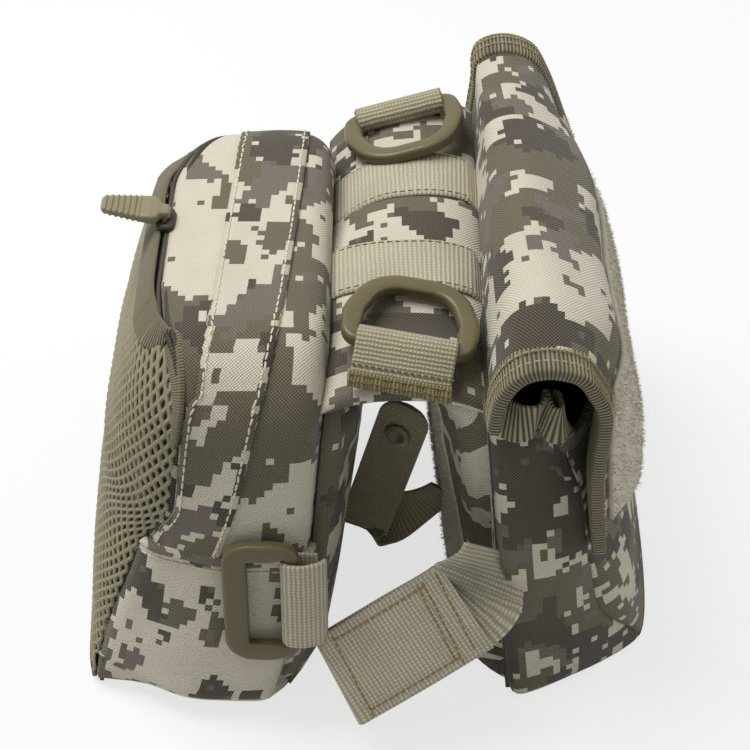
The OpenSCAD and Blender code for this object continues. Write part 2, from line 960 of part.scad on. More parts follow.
// tape over the raw edges of the mouth
module mouth_binding()
    color([0.42, 0.4, 0.3])
        difference() {
            intersection() {
                along_x(0, through / 2)
                    polygon(inset_outline(flap_face, flap_face_r, -mouth_tape_t));
                along_y(-through / 2, through / 2)
                    polygon([
                        [flap_back(100) + back_t, 100],
                        [flap_front(100) + mouth_tape_t, 100],
                        [flap_front(150) + mouth_tape_t, 150],
                        [flap_back(150) + back_t, 150]
                    ]);
                between(flap_pouch_h - mouth_tape_h, flap_pouch_h + mouth_tape_t);
            }
            flap_front_slice(-wall_t, 0, 0, flap_pouch_h);
            intersection() {
                flap_face_prism(0);
                between(0, flap_pouch_h);
            }
            intersection() {
                flap_front_slice(-100, -wall_t, 0, 200);
                along_x(0, through / 2)
                    square([2 * (flap_half_top - wall_t), 400], center = true);
            }
        }

// folded grosgrain tab that stands over the near mouth
mouth_loop_w = 15;
mouth_loop_h = 16;
mouth_loop_t = 1.4;
mouth_loop_r = 3.2;
// how far the tab reaches down inside the wall, and how short its free leg is
mouth_loop_sink = 8;
mouth_loop_short = 6;
mouth_loop_x = (flap_back(flap_pouch_h) + flap_front(flap_pouch_h)) / 2 - 4;

module mouth_loop()
    color([0.4, 0.38, 0.28])
        along_x(mouth_loop_x, mouth_loop_x + mouth_loop_w)
            translate([-flap_half_top + wall_t + mouth_loop_t, flap_pouch_h - mouth_loop_sink])
                difference() {
                    union() {
                        translate([0, mouth_loop_h])
                            circle(r = mouth_loop_r, $fn = 40);
                        translate([-mouth_loop_t, 0])
                            square([mouth_loop_t, mouth_loop_h]);
                        translate([mouth_loop_r - mouth_loop_t, mouth_loop_short])
                            square([mouth_loop_t, mouth_loop_h - mouth_loop_short]);
                    }
                    translate([0, mouth_loop_h])
                        circle(r = mouth_loop_r - mouth_loop_t, $fn = 40);
                }

// The flap: a root that stands up from the seam and a lid that folds at the crest

crest_x = flap_back(seam_z) + 20.24;
lid_off = tape_t * 2 + fit;
// the root leans outward as it rises, which leaves the D-rings free
root_lean = 9.5;
root_line = curve(
    [flap_back(seam_z) + 0.4, seam_z + fit],
    [flap_back(seam_z) + root_lean, crest_z - 3],
    [crest_x, crest_z],
    9
);
// the lid turns down over the mouth and hangs along the front of the pouch
lid_turn_z = crest_z - 34;
function lid_face(z) = flap_front(z) + lid_off + flap_t;
lid_line = concat(
    curve(
        [crest_x, crest_z],
        [lid_face(lid_turn_z) - 1, crest_z - 1],
        [lid_face(lid_turn_z), lid_turn_z],
        8
    ),
    [[lid_face(flap_hem_z), flap_hem_z]]
);

module flap_root()
    color([0.6, 0.54, 0.42])
        intersection() {
            along_y(-flap_half, flap_half)
                polygon(band(root_line, flap_t));
            translate([crest_x - through, -through / 2, seam_z])
                cube(through);
        }

edge_tape = 9;
edge_tape_t = 0.8;

// tape folded over both ends of a curved band
module end_tapes(line, a, b)
    for (s = [0, 1])
        mirror([0, s, 0])
            difference() {
                along_y(flap_half - edge_tape, flap_half + edge_tape_t)
                    polygon(band(shifted(part_of(line, a, b), edge_tape_t), flap_t + 2 * edge_tape_t));
                along_y(0, flap_half)
                    polygon(band(line, flap_t));
            }

module flap_root_binding()
    color([0.44, 0.42, 0.3])
        end_tapes(root_line, 2, len(root_line) - 2);

module flap_lid()
    color([0.6, 0.54, 0.42])
        intersection() {
            along_y(-flap_half, flap_half)
                polygon(band(lid_line, flap_t));
            translate([crest_x + fit, -through / 2, 0])
                cube(through);
        }

module flap_lid_binding()
    color([0.44, 0.42, 0.3])
        difference() {
            end_tapes(lid_line, 1, len(lid_line) - 1);
            translate([crest_x + 2 - through, -through / 2, 0])
                cube(through);
        }

module lid_slice(a, b, z0, z1, half)
    intersection() {
        flap_front_slice(lid_off + a, lid_off + b, z0, z1);
        translate([0, -half, 0])
            cube([through, 2 * half, through]);
    }

patch_low = flap_hem_z + 3;
patch_high = lid_turn_z - 2;
patch_t = 2;
patch_half = flap_half - 14;

module flap_loop_patch()
    color([0.45, 0.43, 0.36])
        lid_slice(flap_t, flap_t + patch_t, patch_low, patch_high, patch_half);

module flap_hook_strip()
    color([0.14, 0.14, 0.13])
        difference() {
            lid_slice(-tape_t, fit, closure_low, closure_high, closure_half);
            flap_lid();
        }

// Straps in the saddle gap

// The cinch strap leaves the near seam of the flap pouch, turns toward the viewer and
// is folded back on itself at its free end.
cinch_root_z = 78;
seam_run = (flap_half_base - flap_half_top) / seam_z;
cinch_root = [
    flap_back(cinch_root_z) - web_t / 2 - 0.5,
    -flap_half_base + seam_run * cinch_root_z + 2,
    cinch_root_z
];
cinch_mid = [34, -116, 60];
cinch_tip = [-11.5, -127.5, 31.5];
cinch_root_across = unit([splay / seam_z, -seam_run, -1]);
cinch_across = unit([0.45, -0.52, -0.72]);
cinch_up = unit(cross(cinch_tip - cinch_mid, cinch_across));
cinch_fold_r = 2.1;
cinch_steps = 6;

function smooth(t) = t * t * (3 - 2 * t);
cinch_line = [
    for (i = [0 : cinch_steps])
        let (t = i / cinch_steps)
        cinch_root + (cinch_mid - cinch_root) * t
];
cinch_turns = [
    for (i = [0 : cinch_steps])
        let (t = smooth(i / cinch_steps))
        unit(cinch_root_across * (1 - t) + cinch_across * t)
];
cinch_run = unit(cinch_tip - cinch_mid);
cinch_fold = [
    for (i = [0 : 8])
        let (a = -90 + 180 * i / 8)
        cinch_tip + cinch_up * cinch_fold_r * (1 + sin(a)) + cinch_run * cinch_fold_r * cos(a)
];
cinch_end = cinch_mid + cinch_run * 3 + cinch_up * 2 * cinch_fold_r;

module cinch_strap()
    color([0.53, 0.48, 0.35])
        ribbon(
            concat(cinch_line, cinch_fold, [cinch_end]),
            concat(cinch_turns, [for (i = [0 : 9]) cinch_across]),
            cinch_w, web_t
        );

// hook pad under the free end, set a hair below the strap
hook_pad_drop = (web_t + tape_t) / 2 + 0.1;
hook_pad_margin = 3;

module cinch_hook_pad()
    color([0.14, 0.14, 0.13])
        ribbon(
            [for (t = [0.25, 0.95]) cinch_mid + (cinch_tip - cinch_mid) * t - cinch_up * hook_pad_drop],
            [cinch_across, cinch_across],
            cinch_w - 2 * hook_pad_margin, tape_t
        );

// The snap strap is sewn to the padded back of the flap pouch, loops left and stands up
// toward its snap.
snap_y = -58;
snap_root = [flap_back(52) - flap_pad_swell - tape_t - 0.9, snap_y + 10, 52];
snap_turn = [-5, snap_y + 1, 39];
snap_high = [11, snap_y - 2, 104];
snap_root_across = unit([splay / seam_z, 0.25, -1]);
snap_across = unit([0.85, -0.35, -0.15]);

snap_line = concat(
    curve(snap_root, [12, snap_y + 9, 50], snap_turn, 6),
    [for (i = [1 : 5]) snap_turn + (snap_high - snap_turn) * i / 5]
);
snap_turns = [
    for (i = [0 : 11])
        let (t = smooth(min(1, i / 6)))
        unit(snap_root_across * (1 - t) + snap_across * t)
];

module snap_strap()
    color([0.18, 0.17, 0.15])
        ribbon(snap_line, snap_turns, snap_w, web_t);

snap_r = 6.5;
snap_seat = 0.05;
cap_t = 1.6;
crown_t = 0.9;
socket_t = 2;
snap_run = unit(snap_high - snap_turn);
snap_out = unit(cross(snap_run, snap_across));
snap_at = snap_high - snap_run * 10;

// a disc standing on the strap, with its axis out of the strap's face
module on_snap(off, r, h)
    translate(snap_at + snap_out * off)
        rotate([0, acos(snap_out[2]), atan2(snap_out[1], snap_out[0])])
            cylinder(r = r, h = h, $fn = 40);

module snap_cap()
    color([0.2, 0.19, 0.16]) {
        on_snap(web_t / 2 + snap_seat, snap_r, cap_t);
        on_snap(web_t / 2 + cap_t, snap_r * 0.7, crown_t);
    }

module snap_socket()
    color([0.3, 0.29, 0.25])
        on_snap(-web_t / 2 - snap_seat - socket_t, snap_r * 0.85, socket_t);

translate(centre_shift) {
    bridge_cover();
    bridge_foam();
    bridge_lining();
    bridge_binding();
    strip_front();
    strip_rear();
    ring_tab_front();
    ring_tab_rear();
    ring_front();
    ring_rear();
    left_back_cover();
    left_back_foam();
    left_back_lining();
    left_back_pad();
    left_gusset();
    storm_band();
    left_base_patch();
    zip_coil_fixed();
    buckle_loop();
    loop_buckle();
    left_front_panel();
    zip_coil_front();
    mesh_panel();
    mesh_gusset();
    mesh_binding();
    zip_slider();
    zip_pull();
    right_back_cover();
    right_back_foam();
    right_back_lining();
    right_back_pad();
    right_loop_field();
    right_gusset();
    right_front_panel();
    front_loop_strip();
    mouth_binding();
    mouth_loop();
    flap_root();
    flap_root_binding();
    flap_lid();
    flap_lid_binding();
    flap_loop_patch();
    flap_hook_strip();
    cinch_strap();
    cinch_hook_pad();
    snap_strap();
    snap_cap();
    snap_socket();
}
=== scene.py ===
"""A soft saddle pack in camouflage cloth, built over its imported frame."""
import math

import bpy
import numpy as np
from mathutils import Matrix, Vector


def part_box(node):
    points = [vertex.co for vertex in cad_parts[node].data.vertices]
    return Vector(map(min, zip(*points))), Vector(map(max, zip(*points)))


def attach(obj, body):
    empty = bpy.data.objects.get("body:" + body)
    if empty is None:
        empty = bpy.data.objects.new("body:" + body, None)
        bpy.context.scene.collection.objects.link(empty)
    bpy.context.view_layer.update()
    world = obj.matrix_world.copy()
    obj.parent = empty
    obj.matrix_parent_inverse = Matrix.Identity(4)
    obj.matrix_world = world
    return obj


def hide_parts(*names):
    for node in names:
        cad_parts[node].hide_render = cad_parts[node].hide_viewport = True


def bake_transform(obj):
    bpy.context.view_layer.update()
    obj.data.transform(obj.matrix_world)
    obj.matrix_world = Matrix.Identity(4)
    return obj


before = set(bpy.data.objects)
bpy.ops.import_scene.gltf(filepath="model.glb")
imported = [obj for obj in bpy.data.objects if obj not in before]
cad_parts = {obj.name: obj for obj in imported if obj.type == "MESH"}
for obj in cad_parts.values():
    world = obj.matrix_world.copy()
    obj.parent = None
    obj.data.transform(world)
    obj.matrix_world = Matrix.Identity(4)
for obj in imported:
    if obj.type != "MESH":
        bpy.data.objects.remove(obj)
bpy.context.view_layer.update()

MM = 0.001
RNG = np.random.default_rng(7)

# The pack's own axes: X across the saddle, Y along it with the viewer at -Y, Z up.
# Sizes are in millimetres on these axes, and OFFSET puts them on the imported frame.
LEFT_EDGE = -18.0
bridge_low, bridge_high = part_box("bridge_cover")
OFFSET = np.array([bridge_low.x - LEFT_EDGE * MM, (bridge_low.y + bridge_high.y) / 2, 0.0])

# seams that the pouches hang from, and their lean outward below them
SEAM_Z = 146.5
LEFT_SEAM, RIGHT_SEAM = -18.3, 40.3
LEAN = 14.0 / SEAM_Z
# zipped pouch: middle along Y, height, depth, and further reach toward the foot
ZIP_MID = -11.0
ZIP_H = 160.0
ZIP_DEPTH = 68.0
FOOT_REACH, REACH_TOP, REACH_SPAN = 17.0, 105.0, 95.0
# flap pouch: height, depth, how much less at the mouth and more at the foot, and the flap's crest
FLAP_H = 142.0
FLAP_DEPTH, FLAP_NARROWS = 57.0, 13.0
FLAP_FOOT, FLAP_FOOT_H = 4.0, 40.0
CREST_Z = 179.5


def put(points):
    """Points in millimetres on the pack's axes, as metres on the frame."""
    return np.asarray(points, float) * MM + OFFSET


def xyz(x, y, z):
    """Points from three coordinates, each an array or one number."""
    return np.stack(np.broadcast_arrays(x, y, z), -1).astype(float)


def grid(a, b):
    return np.meshgrid(a, b, indexing="ij")


def spaced(*runs):
    """Numbers in runs, each evenly spaced as (first, last, count)."""
    return np.concatenate([np.linspace(*run) for run in runs])


def smooth(t):
    """Goes from 0 to 1 with soft ends as t does."""
    t = np.clip(t, 0.0, 1.0)
    return t * t * (3 - 2 * t)


def unit(v):
    v = np.asarray(v, float)
    return v / np.maximum(np.linalg.norm(v, axis=-1, keepdims=True), 1e-9)


def rim(d, r):
    """Share of the full height, 0 to 1, at distance d into an edge that is rounded over a length r."""
    return np.sqrt(np.clip(1 - (1 - np.clip(d / r, 0, 1)) ** 2, 0, 1))


def profile(t, table):
    """Value at t, from a table of (place, value) pairs."""
    return np.interp(t, *np.transpose(table))


def follow(t, s, field):
    """Rows of `field`, which lie at the lengths s, read at the lengths t."""
    return np.stack([np.interp(t, s, field[:, k]) for k in range(field.shape[1])], 1)


def ordered(points, axis=2):
    """Points sorted by height, or by another coordinate."""
    return points[np.argsort(points[:, axis])]


def at_height(z, points, axis):
    """One coordinate at the height z of a line of points sorted by height."""
    return np.interp(z, points[:, 2], points[:, axis])


def zip_back(z):
    return LEFT_SEAM - LEAN * (SEAM_Z - z)


def zip_front(z):
    return zip_back(z) - ZIP_DEPTH


def foot_reach(z):
    """How much further the zipped pouch reaches forward at its foot."""
    return FOOT_REACH * smooth((REACH_TOP - z) / REACH_SPAN)


def flap_back(z):
    return RIGHT_SEAM + LEAN * (SEAM_Z - z)


def flap_deep(z):
    """Depth of the flap pouch at height z."""
    return FLAP_DEPTH - FLAP_NARROWS * z / FLAP_H + FLAP_FOOT * smooth((FLAP_FOOT_H - z) / FLAP_FOOT_H)


# Camera: end view from above, 43 degrees over the horizon
CAMERA_AT = (0.0, -534.0, 571.0)
CAMERA_TILT = 47.0
SENSOR, LENS = 36.0, 81.6
camera_data = bpy.data.cameras.new("camera")
camera_data.sensor_width = SENSOR
camera_data.lens = LENS
camera = bpy.data.objects.new("camera", camera_data)
camera.location = put(CAMERA_AT)
camera.rotation_euler = (math.radians(CAMERA_TILT), 0.0, 0.0)
bpy.context.collection.objects.link(camera)
bpy.context.scene.camera = camera


# Materials

def linear(rgb):
    """A colour of 0 to 255 as the linear value that shaders take."""
    c = np.array(rgb, float) / 255
    return tuple(np.where(c <= 0.04045, c / 12.92, ((c + 0.055) / 1.055) ** 2.4)) + (1.0,)


class Look:
    """A material and short ways to add nodes to it."""

    def __init__(self, name, roughness=0.85, sheen=0.0):
        self.material = bpy.data.materials.new(name)
        self.material.use_nodes = True
        self.tree = self.material.node_tree
        self.shader = self.tree.nodes["Principled BSDF"]
        self.shader.inputs["Roughness"].default_value = roughness
        self.shader.inputs["Sheen Weight"].default_value = sheen
        self.shader.inputs["Specular IOR Level"].default_value = 0.3
        self.uv = self.add("ShaderNodeTexCoord").outputs["UV"]
        split = self.add("ShaderNodeSeparateXYZ", Vector=self.uv)
        self.u, self.v = split.outputs["X"], split.outputs["Y"]

    def add(self, kind, **inputs):
        node = self.tree.nodes.new(kind)
        for key, value in inputs.items():
            self.feed(node.inputs[key.replace("_", " ")], value)
        return node

    def feed(self, socket, value):
        if isinstance(value, bpy.types.NodeSocket):
            self.tree.links.new(value, socket)
        else:
            socket.default_value = value

    def math(self, operation, a, b=0.0, c=None):
        node = self.tree.nodes.new("ShaderNodeMath")
        node.operation = operation
        for socket, value in zip(node.inputs, (a, b) if c is None else (a, b, c)):
            self.feed(socket, value)
        return node.outputs[0]

    def vector(self, operation, a, b):
        node = self.tree.nodes.new("ShaderNodeVectorMath")
        node.operation = operation
        self.feed(node.inputs[0], a)
        self.feed(node.inputs[1], b)
        return node.outputs[0]

    def noise(self, at, scale, detail=2.0, rough=0.5):
        return self.add("ShaderNodeTexNoise", Vector=at, Scale=scale, Detail=detail,
                        Roughness=rough).outputs["Fac"]

    def mix(self, factor, a, b, blend="MIX"):
        node = self.tree.nodes.new("ShaderNodeMix")
        node.data_type = "RGBA"
        node.blend_type = blend
        self.feed(node.inputs[0], factor)
        self.feed(node.inputs[6], a)
        self.feed(node.inputs[7], b)
        return node.outputs[2]

    def wave(self, coord, pitch, phase=0.0):
        turn = self.math("MULTIPLY_ADD", coord, 2 * math.pi / (pitch * MM), phase)
        return self.math("MULTIPLY_ADD", self.math("SINE", turn), 0.5, 0.5)

    def checks(self, pitch, phase=0.0):
        """Crossing waves along u and v."""
        return self.math("MULTIPLY", self.wave(self.u, pitch, phase), self.wave(self.v, pitch, phase))

    def tint(self, colour, amount, low, high):
        """Scales a colour between low and high as amount goes from 0 to 1."""
        level = self.add("ShaderNodeMapRange", Value=amount, To_Min=low, To_Max=high).outputs[0]
        grey = self.add("ShaderNodeCombineXYZ", X=level, Y=level, Z=level).outputs[0]
        return self.mix(1.0, colour, grey, "MULTIPLY")

    def done(self, colour, height=None, bump=0.4, depth=0.3):
        self.feed(self.shader.inputs["Base Color"], colour)
        if height is not None:
            node = self.add("ShaderNodeBump", Strength=bump, Distance=depth * MM, Height=height)
            self.tree.links.new(node.outputs[0], self.shader.inputs["Normal"])
        return self.material


CREAM = linear((218, 211, 191))
OLIVE = linear((100, 93, 72))
GREY_BROWN = linear((112, 102, 93))
DARK_BROWN = linear((66, 58, 48))
CAMO_CELL = 2.9
CAMO_WEAVE, CLOTH_WEAVE = 1.4, 1.1
# patches of camouflage, each over the last: colour, place in the noise, its scale, level they start at
CAMO_PATCHES = ((OLIVE, 11.3, 0.066, 0.505), (GREY_BROWN, 57.1, 0.09, 0.575),
                (DARK_BROWN, 93.7, 0.085, 0.57), (CREAM, 131.9, 0.11, 0.62))
STRAY_CELLS = 0.018


def camo_look():
    """Square cells of four colours on a woven cloth."""
    look = Look("camo_cloth", 0.9, 0.15)
    cells = look.vector("SCALE", look.uv, (0, 0, 0))
    cells.node.inputs["Scale"].default_value = 1 / (CAMO_CELL * MM)
    cell = look.vector("FLOOR", cells, (0, 0, 0))
    wide = look.vector("MULTIPLY", cell, (0.85, 1.15, 1.0))
    colour = CREAM
    for patch, shift, scale, limit in CAMO_PATCHES:
        at = look.vector("ADD", wide, (shift, shift * 0.7, shift * 1.3))
        spots = look.math("GREATER_THAN", look.noise(at, scale, 1.8, 0.62), limit)
        colour = look.mix(spots, colour, patch)
    stray = look.add("ShaderNodeTexWhiteNoise", Vector=cell).outputs["Value"]
    colour = look.mix(look.math("GREATER_THAN", stray, 1 - STRAY_CELLS), colour, OLIVE)
    colour = look.mix(look.math("LESS_THAN", stray, STRAY_CELLS), colour, CREAM)
    weave = look.math("ADD", look.checks(CAMO_WEAVE), look.checks(CAMO_WEAVE, math.pi))
    dots = look.math("POWER", weave, 2.0)
    colour = look.mix(look.math("MULTIPLY", dots, 0.16), colour, CREAM)
    colour = look.tint(colour, weave, 0.72, 1.14)
    colour = look.tint(colour, look.noise(look.uv, 28.0, 3.0), 0.86, 1.12)
    return look.done(colour, weave, 0.7, 0.45)


def plain_cloth_look(name, rgb):
    look = Look(name, 0.9, 0.2)
    weave = look.checks(CLOTH_WEAVE)
    colour = look.tint(linear(rgb), look.noise(look.uv, 60.0, 4.0), 0.7, 1.25)
    return look.done(look.tint(colour, weave, 0.85, 1.1), weave, 0.5, 0.3)


def webbing_look(name, rgb, along, across, deep):
    """Woven strap: rows across the strap with a dash at each crossing."""
    look = Look(name, 0.8, 0.2)
    wobble = look.math("MULTIPLY_ADD", look.noise(look.uv, 260.0, 2.0), 0.0006, -0.0003)
    rows = look.wave(look.math("ADD", look.u, wobble), along)
    dashes = look.wave(look.math("ADD", look.v, wobble), across)
    weave = look.math("MULTIPLY", rows, look.math("MULTIPLY_ADD", dashes, 0.65, 0.35))
    colour = look.tint(linear(rgb), look.noise(look.uv, 45.0, 4.0), 0.8, 1.2)
    colour = look.tint(colour, weave, deep, 1.18)
    return look.done(colour, weave, 0.8, 0.5)


def tape_look(name, rgb, pitch, deep):
    """Grosgrain: ribs across the tape with fine threads along it."""
    look = Look(name, 0.78, 0.25)
    ribs = look.wave(look.u, pitch)
    threads = look.wave(look.v, 0.9)
    height = look.math("MULTIPLY_ADD", threads, 0.25, ribs)
    colour = look.tint(linear(rgb), look.noise(look.uv, 50.0, 4.0), 0.82, 1.18)
    colour = look.tint(colour, ribs, deep, 1.6)
    return look.done(colour, height, 0.8, 0.5)


def grain_look(name, rgb, scale, tones, roughness, sheen=0.0, bump=0.3, depth=0.3):
    """Fine grain between two tones, with wider cloudiness over it."""
    look = Look(name, roughness, sheen)
    at = look.add("ShaderNodeTexCoord").outputs["Object"]
    grain = look.noise(at, scale, 4.0, 0.6)
    colour = look.tint(linear(rgb), grain, *tones)
    colour = look.tint(colour, look.noise(at, scale * 0.12, 2.0), 0.9, 1.1)
    return look.done(colour, grain, bump, depth)


def plastic_look(name, rgb, tones, roughness):
    return grain_look(name, rgb, 500.0, tones, roughness, bump=0.12, depth=0.2)


def thread_look(name, rgb):
    return grain_look(name, rgb, 1500.0, (0.8, 1.15), 0.8)


CAMO = camo_look()
DARK_CLOTH = plain_cloth_look("dark_cloth", (70, 66, 56))
WEBBING = webbing_look("khaki_webbing", (188, 180, 149), 1.6, 1.4, 0.5)
STRIP = webbing_look("strip_webbing", (197, 190, 164), 1.8, 1.6, 0.66)
FINE_WEBBING = webbing_look("fine_webbing", (206, 198, 171), 1.7, 1.5, 0.54)
DARK_WEBBING = webbing_look("dark_webbing", (150, 141, 114), 1.7, 1.4, 0.66)
TAPE = tape_look("ribbed_tape", (118, 110, 82), 1.4, 0.16)
GATHER = tape_look("gathered_tape", (150, 142, 112), 1.6, 0.12)
OLIVE_TAPE = tape_look("olive_tape", (126, 114, 74), 1.3, 0.6)
KNIT_TAPE = tape_look("knit_tape", (108, 101, 75), 1.0, 0.7)
MESH = grain_look("mesh_yarn", (148, 141, 112), 1400.0, (0.7, 1.25), 0.85, sheen=0.2)
PILE = grain_look("loop_pile", (214, 207, 186), 900.0, (0.76, 1.22), 0.95, 0.4, bump=0.9, depth=0.8)
HOOK = grain_look("hook_tape", (52, 50, 44), 1100.0, (0.6, 1.4), 0.7, bump=0.8, depth=0.6)
COIL = grain_look("zip_coil", (58, 53, 41), 800.0, (0.8, 1.2), 0.5)
PLASTIC = plastic_look("moulded_plastic", (102, 94, 64), (0.9, 1.08), 0.3)
PULL_PLASTIC = plastic_look("pull_plastic", (136, 129, 98), (0.9, 1.08), 0.45)
DARK_PLASTIC = plastic_look("dark_snap", (110, 102, 82), (0.85, 1.1), 0.38)
THREAD = thread_look("cream_thread", (220, 212, 186))
TAN_THREAD = thread_look("tan_thread", (150, 118, 78))
TAPE_THREAD = thread_look("tape_thread", (166, 156, 112))
OLIVE_THREAD = thread_look("olive_thread", (112, 104, 78))


# Mesh builders

def make(name, verts, faces, material, uvs=None, shade=True):
    mesh = bpy.data.meshes.new(name)
    mesh.from_pydata(np.asarray(verts).tolist(), [], [list(map(int, f)) for f in faces])
    if uvs is not None:
        layer = mesh.uv_layers.new(name="UVMap")
        layer.data.foreach_set("uv", np.asarray(uvs, np.float32).ravel())
    if shade:
        mesh.polygons.foreach_set("use_smooth", [True] * len(mesh.polygons))
    mesh.materials.append(material)
    obj = bpy.data.objects.new(name, mesh)
    bpy.context.collection.objects.link(obj)
    return obj


def grid_faces(n, m, closed_n=False, closed_m=False):
    """Quads of a grid of n by m points, and the grid places of their corners."""
    i = np.arange(n if closed_n else n - 1)
    j = np.arange(m if closed_m else m - 1)
    a, b = (x.ravel() for x in grid(i, j))
    a1, b1 = (a + 1) % n, (b + 1) % m
    quads = np.stack([a * m + b, a1 * m + b, a1 * m + b1, a * m + b1], 1)
    corners = np.stack([np.stack([a, b], 1), np.stack([a + 1, b], 1),
                        np.stack([a + 1, b + 1], 1), np.stack([a, b + 1], 1)], 1)
    return quads, corners


def arc_uv(points, closed_n=False, closed_m=False):
    """Lengths along both directions of a grid of points, in metres."""
    p = points
    if closed_n:
        p = np.concatenate([p, p[:1]], 0)
    if closed_m:
        p = np.concatenate([p, p[:, :1]], 1)
    along = np.zeros(p.shape[:2])
    across = np.zeros(p.shape[:2])
    along[1:] = np.cumsum(np.linalg.norm(np.diff(p, axis=0), axis=2), 0)
    across[:, 1:] = np.cumsum(np.linalg.norm(np.diff(p, axis=1), axis=2), 1)
    middle = along[:, along.shape[1] // 2]
    return np.stack([np.repeat(middle[:, None], p.shape[1], 1), across], 2) * MM


class Surface:
    """A grid of points in millimetres with lookups for things that lie on it."""

    def __init__(self, points, inside, closed=False):
        self.p = np.asarray(points, float)
        self.closed = closed
        self.n, self.m = self.p.shape[:2]
        du = np.roll(self.p, -1, 0) - np.roll(self.p, 1, 0)
        if not closed:
            du[0], du[-1] = self.p[1] - self.p[0], self.p[-1] - self.p[-2]
        dv = np.gradient(self.p, axis=1)
        self.normal = unit(np.cross(du, dv))
        if not faces_away(self.p, self.normal, inside):
            self.normal = -self.normal

    def _at(self, field, i, j):
        i, j = np.asarray(i, float), np.asarray(j, float)
        if self.closed:
            i = np.mod(i, self.n)
        else:
            i = np.clip(i, 0, self.n - 1)
        j = np.clip(j, 0, self.m - 1)
        i0, j0 = np.floor(i).astype(int), np.floor(j).astype(int)
        i1 = (i0 + 1) % self.n if self.closed else np.minimum(i0 + 1, self.n - 1)
        j1 = np.minimum(j0 + 1, self.m - 1)
        a, b = (i - i0)[..., None], (j - j0)[..., None]
        return ((field[i0, j0] * (1 - a) + field[i1, j0] * a) * (1 - b)
                + (field[i0, j1] * (1 - a) + field[i1, j1] * a) * b)

    def at(self, i, j, lift=0.0):
        lift = np.asarray(lift, float)
        return self._at(self.p, i, j) + unit(self._at(self.normal, i, j)) * lift[..., None]

    def facing(self, i, j):
        return unit(self._at(self.normal, i, j))


def sew(obj, body, slot, *nodes):
    """Parents a piece to its body and hides the nodes that it stands for."""
    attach(obj, body)
    if nodes:
        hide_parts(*nodes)
    return obj


def thicken(obj, thick, offset=-1.0, lining=None):
    """Gives a sheet its thickness, with the lining on its inner face and rim."""
    mod = obj.modifiers.new("thick", "SOLIDIFY")
    if lining:
        obj.data.materials.append(lining)
        mod.material_offset = 1
        mod.material_offset_rim = 1
    mod.thickness = thick * MM
    mod.offset = offset
    mod.use_even_offset = False
    return obj


def faces_away(points, normals, inside):
    return np.sum(normals * (points - np.asarray(inside, float))) > 0


def cloth(name, points, material, inside, closed=False, uv_shift=(0.0, 0.0), thick=0.0, lining=None):
    """A cloth panel from a grid of points. It faces away from `inside` and thickens inward."""
    points = np.asarray(points, float)
    quads, corners = grid_faces(*points.shape[:2], closed_n=closed)
    table = arc_uv(points, closed) + np.array(uv_shift) * MM
    uvs = table[corners[..., 0], corners[..., 1]]
    flat = points.reshape(-1, 3)[quads]
    normals = np.cross(flat[:, 1] - flat[:, 0], flat[:, 3] - flat[:, 0])
    if not faces_away(flat.mean(1), normals, inside):
        quads, uvs = quads[:, ::-1], uvs[:, ::-1]
    obj = make(name, put(points).reshape(-1, 3), quads, material, uvs)
    if thick:
        thicken(obj, thick, lining=lining)
    return obj


def round_section(width, thick, corner=None, steps=4):
    """Points round a flat strap's section with rounded corners. Without a radius its edges are half round."""
    r = min(thick / 2, corner or thick / 2)
    pts = []
    for cx, cy, a0 in ((width / 2 - r, thick / 2 - r, 90), (width / 2 - r, r - thick / 2, 0),
                       (r - width / 2, r - thick / 2, -90), (r - width / 2, thick / 2 - r, -180)):
        for k in range(steps + 1):
            a = math.radians(a0 - 90 * k / steps)
            pts.append((cx + r * math.cos(a), cy + r * math.sin(a)))
    return np.array(pts)


def oval_section(width, thick, power, count=20):
    """Points round an oval section. A higher power makes it squarer."""
    a = np.linspace(0, 2 * math.pi, count, endpoint=False)
    c, s = np.cos(a), np.sin(a)
    return np.stack([np.sign(c) * np.abs(c) ** (2 / power) * width / 2,
                     np.sign(s) * np.abs(s) ** (2 / power) * thick / 2], 1)


def lengths(points, closed=False):
    """Length along a line at each of its points."""
    p = np.concatenate([points, points[:1]]) if closed else points
    return np.concatenate([[0], np.cumsum(np.linalg.norm(np.diff(p, axis=0), axis=1))])


def resample(points, count, closed=False):
    """`count` points at even steps along a line."""
    s = lengths(points, closed)
    p = np.concatenate([points, points[:1]]) if closed else points
    return follow(np.linspace(0, s[-1], count, endpoint=not closed), s, p)


def spline(points, per):
    """A smooth curve through the points, with `per` steps between each two."""
    p = np.asarray(points, float)
    p = np.concatenate([[2 * p[0] - p[1]], p, [2 * p[-1] - p[-2]]])
    out = []
    t = np.linspace(0, 1, per, endpoint=False)[:, None]
    for k in range(1, len(p) - 2):
        a, b, c, d = p[k - 1], p[k], p[k + 1], p[k + 2]
        out.append(0.5 * (2 * b + (c - a) * t + (2 * a - 5 * b + 4 * c - d) * t ** 2
                          + (3 * b - a - 3 * c + d) * t ** 3))
    return np.concatenate(out + [p[-2:-1]])


